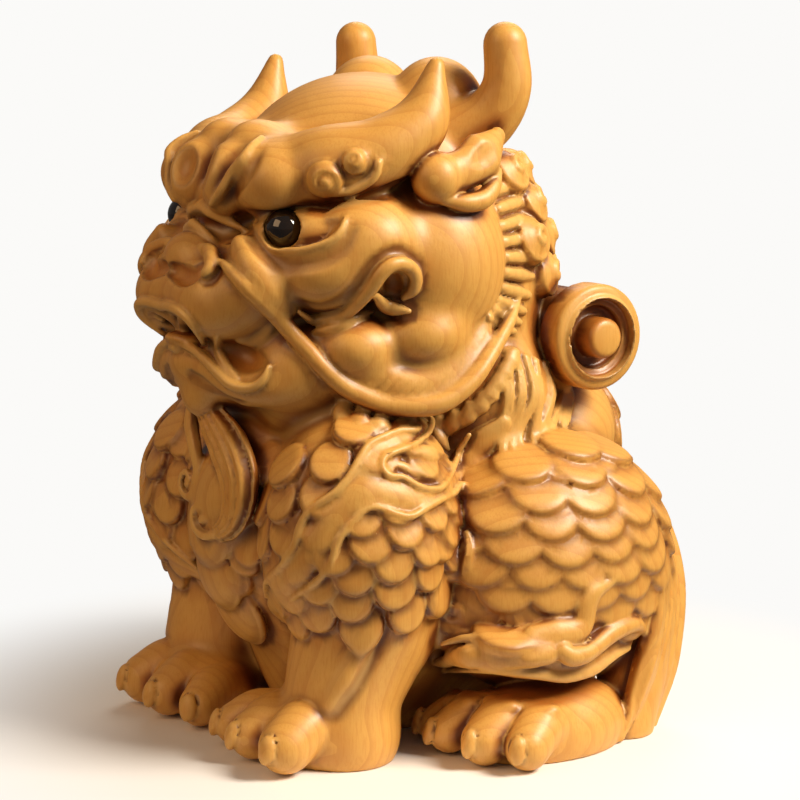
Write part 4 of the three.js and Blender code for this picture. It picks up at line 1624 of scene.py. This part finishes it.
def main_body(count: int, quads: np.ndarray) -> np.ndarray:
    """Finds the faces of the largest connected body, so that no loose chip is kept.

    Args:
        count: how many vertices there are.
        quads: the vertices of each face.

    Returns:
        The faces that are kept.
    """
    parent = np.arange(count)
    ends = np.vstack([quads[:, [k, (k + 1) % 4]] for k in range(4)])
    while True:
        one, other = parent[ends[:, 0]], parent[ends[:, 1]]
        apart = one != other
        if not apart.any():
            break
        np.minimum.at(parent, np.maximum(one, other)[apart], np.minimum(one, other)[apart])
        while (parent[parent] != parent).any():
            parent = parent[parent]
    bodies, sizes = np.unique(parent[quads[:, 0]], return_counts=True)
    return quads[parent[quads[:, 0]] == bodies[np.argmax(sizes)]]


@dataclass
class CarvedBeast:
    """The one block of boxwood, carved into the beast and the scroll on its back."""

    name: str = "carved_qilin_wood"
    node: str = "carved_qilin"
    slot: str = "boxwood"
    cell: float = 0.28
    quick_cell: float = 0.5
    most_triangles: int = 196_000
    # how far out the relief is read for the painted shade in hollows and cuts and the painted highlight on
    # edges
    hollow_reach: float = 2.6
    crease_reach: float = 1.0
    finish: WaxedBoxwood = WaxedBoxwood()

    def build(self) -> bpy.types.Object:
        """Carves the block, draws its surface and dresses it.

        Returns:
            The finished piece.
        """
        block = carved_block(self.cell)
        full = self._skin(block)
        mesh = self._thinned(full)
        self._record_relief(block, mesh)
        piece = bpy.data.objects.new(self.name, mesh)
        bpy.context.scene.collection.objects.link(piece)
        mesh.materials.append(self.finish.material())
        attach(piece, "root")
        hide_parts(self.node)
        return piece

    def _skin(self, block: CarvingBlock) -> bpy.types.Mesh:
        """Draws the block's surface as one closed mesh of quads.

        Args:
            block: the carved block.

        Returns:
            The mesh, in the row's frame and in metres.
        """
        grid = openvdb.FloatGrid(FAR)
        grid.copyFromArray(block.field, tolerance=0.0)
        corners, quads = grid.convertToQuads(0.0)
        quads = main_body(len(corners), quads.astype(np.int64))
        used, quads = np.unique(quads, return_inverse=True)
        quads = quads.reshape(-1, 4)
        places = (block.low + corners[used] * block.cell - (0, FOOTPRINT_MID_Y, 0)) * MM
        a, b, c, d = (places[quads[:, k]] for k in range(4))
        if np.einsum("ij,ij->", a + b + c + d, np.cross(c - a, d - b)) < 0:
            quads = quads[:, ::-1]
        mesh = bpy.data.meshes.new(self.name + "_full")
        mesh.vertices.add(len(places))
        mesh.vertices.foreach_set("co", places.astype(np.float32).ravel())
        mesh.loops.add(quads.size)
        mesh.loops.foreach_set("vertex_index", np.ascontiguousarray(quads, np.int32).ravel())
        mesh.polygons.add(len(quads))
        mesh.polygons.foreach_set("loop_start", np.arange(0, quads.size, 4, dtype=np.int32))
        mesh.update(calc_edges=True)
        return mesh

    def _thinned(self, full: bpy.types.Mesh) -> bpy.types.Mesh:
        """Collapses the small flat faces, so that the piece keeps within its triangles.

        Args:
            full: the drawn surface.

        Returns:
            The mesh with smooth faces.
        """
        holder = bpy.data.objects.new(self.name + "_full", full)
        bpy.context.scene.collection.objects.link(holder)
        fewer = holder.modifiers.new("fewer_triangles", "DECIMATE")
        fewer.ratio = min(1.0, self.most_triangles / (2 * len(full.polygons)))
        depsgraph = bpy.context.evaluated_depsgraph_get()
        mesh = bpy.data.meshes.new_from_object(holder.evaluated_get(depsgraph))
        mesh.name = self.name
        bpy.data.objects.remove(holder)
        bpy.data.meshes.remove(full)
        mesh.polygons.foreach_set("use_smooth", np.ones(len(mesh.polygons), bool))
        return mesh

    def _record_relief(self, block: CarvingBlock, mesh: bpy.types.Mesh) -> None:
        """Writes how hollow, creased or raised the wood is at each vertex, which places the painted shade and
        the painted highlight.

        Args:
            block: the carved block.
            mesh: the finished mesh.
        """
        count = len(mesh.vertices)
        places, ways = np.empty(count * 3, np.float32), np.empty(count * 3, np.float32)
        mesh.vertices.foreach_get("co", places)
        mesh.vertices.foreach_get("normal", ways)
        places = places.reshape(-1, 3) / MM + (0, FOOTPRINT_MID_Y, 0)
        ways = ways.reshape(-1, 3)
        near, far = self.crease_reach, self.hollow_reach
        values = {
            "hollow": 1 - block.distance(places + far * ways, block.field) / far,
            "crease": 1 - block.distance(places + near * ways, block.field) / near,
            "ridge": 1 + block.distance(places - near * ways, block.field) / near,
        }
        for name, value in values.items():
            layer = mesh.attributes.new(name, "FLOAT", "POINT")
            layer.data.foreach_set("value", np.clip(value, 0, 1).astype(np.float32))


@dataclass
class BeadEye:
    """One inlaid bead, sitting in the socket that is cut for it."""

    side: int
    name: str
    node: str
    slot: str = "black_bead"
    socket: Eyes = Eyes()
    finish: PolishedBead = PolishedBead()

    def build(self) -> bpy.types.Object:
        """Makes the bead and dresses it.

        Returns:
            The finished piece.
        """
        x, y, z = self.socket.bead
        form = bmesh.new()
        bmesh.ops.create_icosphere(form, subdivisions=4, radius=self.socket.radius * MM)
        bmesh.ops.translate(form, verts=form.verts, vec=in_row((self.side * x, y, z)))
        for face in form.faces:
            face.smooth = True
        mesh = bpy.data.meshes.new(self.name)
        form.to_mesh(mesh)
        form.free()
        piece = bpy.data.objects.new(self.name, mesh)
        bpy.context.scene.collection.objects.link(piece)
        mesh.materials.append(self.finish.material())
        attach(piece, "root")
        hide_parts(self.node)
        return piece


@dataclass(frozen=True)
class Softbox:
    """A soft square lamp, aimed at the figure.

    Its way is how far it lies to the camera's right, up and towards the camera; its distance and the side
    of its square are in millimetres, and its power in watts.
    """

    name: str
    way: Point
    size: float
    power: float
    colour: str
    distance: float = 420.0


@dataclass
class Studio:
    """The pale floor, the soft lights and the camera."""

    view: PhotographView = PhotographView()
    floor_radius: float = 3.0
    background: str = "#FBFAF8"
    glow: float = 0.13
    lamps: tuple[Softbox, ...] = (
        Softbox("key_softbox", (0.78, 0.66, 0.4), 170, 3.05, "#FFF3E2"),
        Softbox("left_fill", (-0.7, 0.45, 0.6), 260, 0.62, "#FFD09A"),
        Softbox("back_rim", (0.1, 0.9, -0.7), 200, 0.4, "#FFF4E4"),
    )

    def build(self) -> None:
        """Lays the floor, hangs the lights and sets the camera."""
        self._floor()
        self._world()
        for lamp in self.lamps:
            self._hang(lamp)
        self._camera()
        view = bpy.context.scene.view_settings
        view.view_transform = "Standard"
        view.look = "None"

    def _floor(self) -> None:
        """Lays the floor."""
        form = bmesh.new()
        bmesh.ops.create_circle(form, cap_ends=True, segments=96, radius=self.floor_radius)
        mesh = bpy.data.meshes.new("studio_floor")
        form.to_mesh(mesh)
        form.free()
        floor = bpy.data.objects.new("studio_floor", mesh)
        bpy.context.scene.collection.objects.link(floor)
        mesh.materials.append(PaleFloor().material())

    def _world(self) -> None:
        """Makes the even pale surroundings."""
        world = bpy.data.worlds.new("pale_studio")
        world.use_nodes = True
        tree = world.node_tree
        tree.nodes.clear()
        seen = add_node(tree, "ShaderNodeLightPath", {}, {}).outputs["Is Camera Ray"]
        strength = add_node(tree, "ShaderNodeMapRange", {},
                            {"Value": seen, "To Min": self.glow, "To Max": 1.0})
        sky = add_node(tree, "ShaderNodeBackground", {},
                       {"Color": linear(self.background), "Strength": strength.outputs["Result"]})
        add_node(tree, "ShaderNodeOutputWorld", {}, {"Surface": sky.outputs["Background"]})
        bpy.context.scene.world = world

    def _hang(self, lamp: Softbox) -> None:
        """Hangs one lamp.

        Args:
            lamp: the lamp.
        """
        across, rise, near = lamp.way
        right, up, back = self.view.axes()
        out = unit(across * right + rise * up + near * back)
        data = bpy.data.lights.new(lamp.name, "AREA")
        data.size = lamp.size * MM
        data.energy = lamp.power
        data.color = linear(lamp.colour)[:3]
        hung = bpy.data.objects.new(lamp.name, data)
        hung.location = np.array(in_row(self.view.aim)) + out * lamp.distance * MM
        hung.rotation_euler = Vector(out).to_track_quat("Z", "Y").to_euler()
        bpy.context.scene.collection.objects.link(hung)

    def _camera(self) -> None:
        """Sets the camera at the photograph's viewing angle."""
        right, up, back = self.view.axes()
        data = bpy.data.cameras.new("photograph_view")
        data.sensor_fit = "HORIZONTAL"
        data.angle = math.radians(self.view.field_of_view)
        data.clip_start = 10 * MM
        camera = bpy.data.objects.new("photograph_view", data)
        place = np.array(in_row(tuple(self.view.eye())))
        turn = Matrix(np.stack([right, up, back], 1).tolist()).to_4x4()
        camera.matrix_world = Matrix.Translation(place.tolist()) @ turn
        bpy.context.scene.collection.objects.link(camera)
        bpy.context.scene.camera = camera


def main() -> None:
    """Builds the pieces in order, then the studio."""
    logging.basicConfig(level=logging.INFO, format="%(name)s: %(message)s", force=True)
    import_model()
    eyes = (BeadEye(1, "eye_bead_left", "eye_left"), BeadEye(-1, "eye_bead_right", "eye_right"))
    for part in (CarvedBeast(), *eyes):
        piece = part.build()
        LOG.info("%s: %d triangles", piece.name, len(piece.data.polygons))
    Studio().build()


if __name__ == "__main__":
    main()
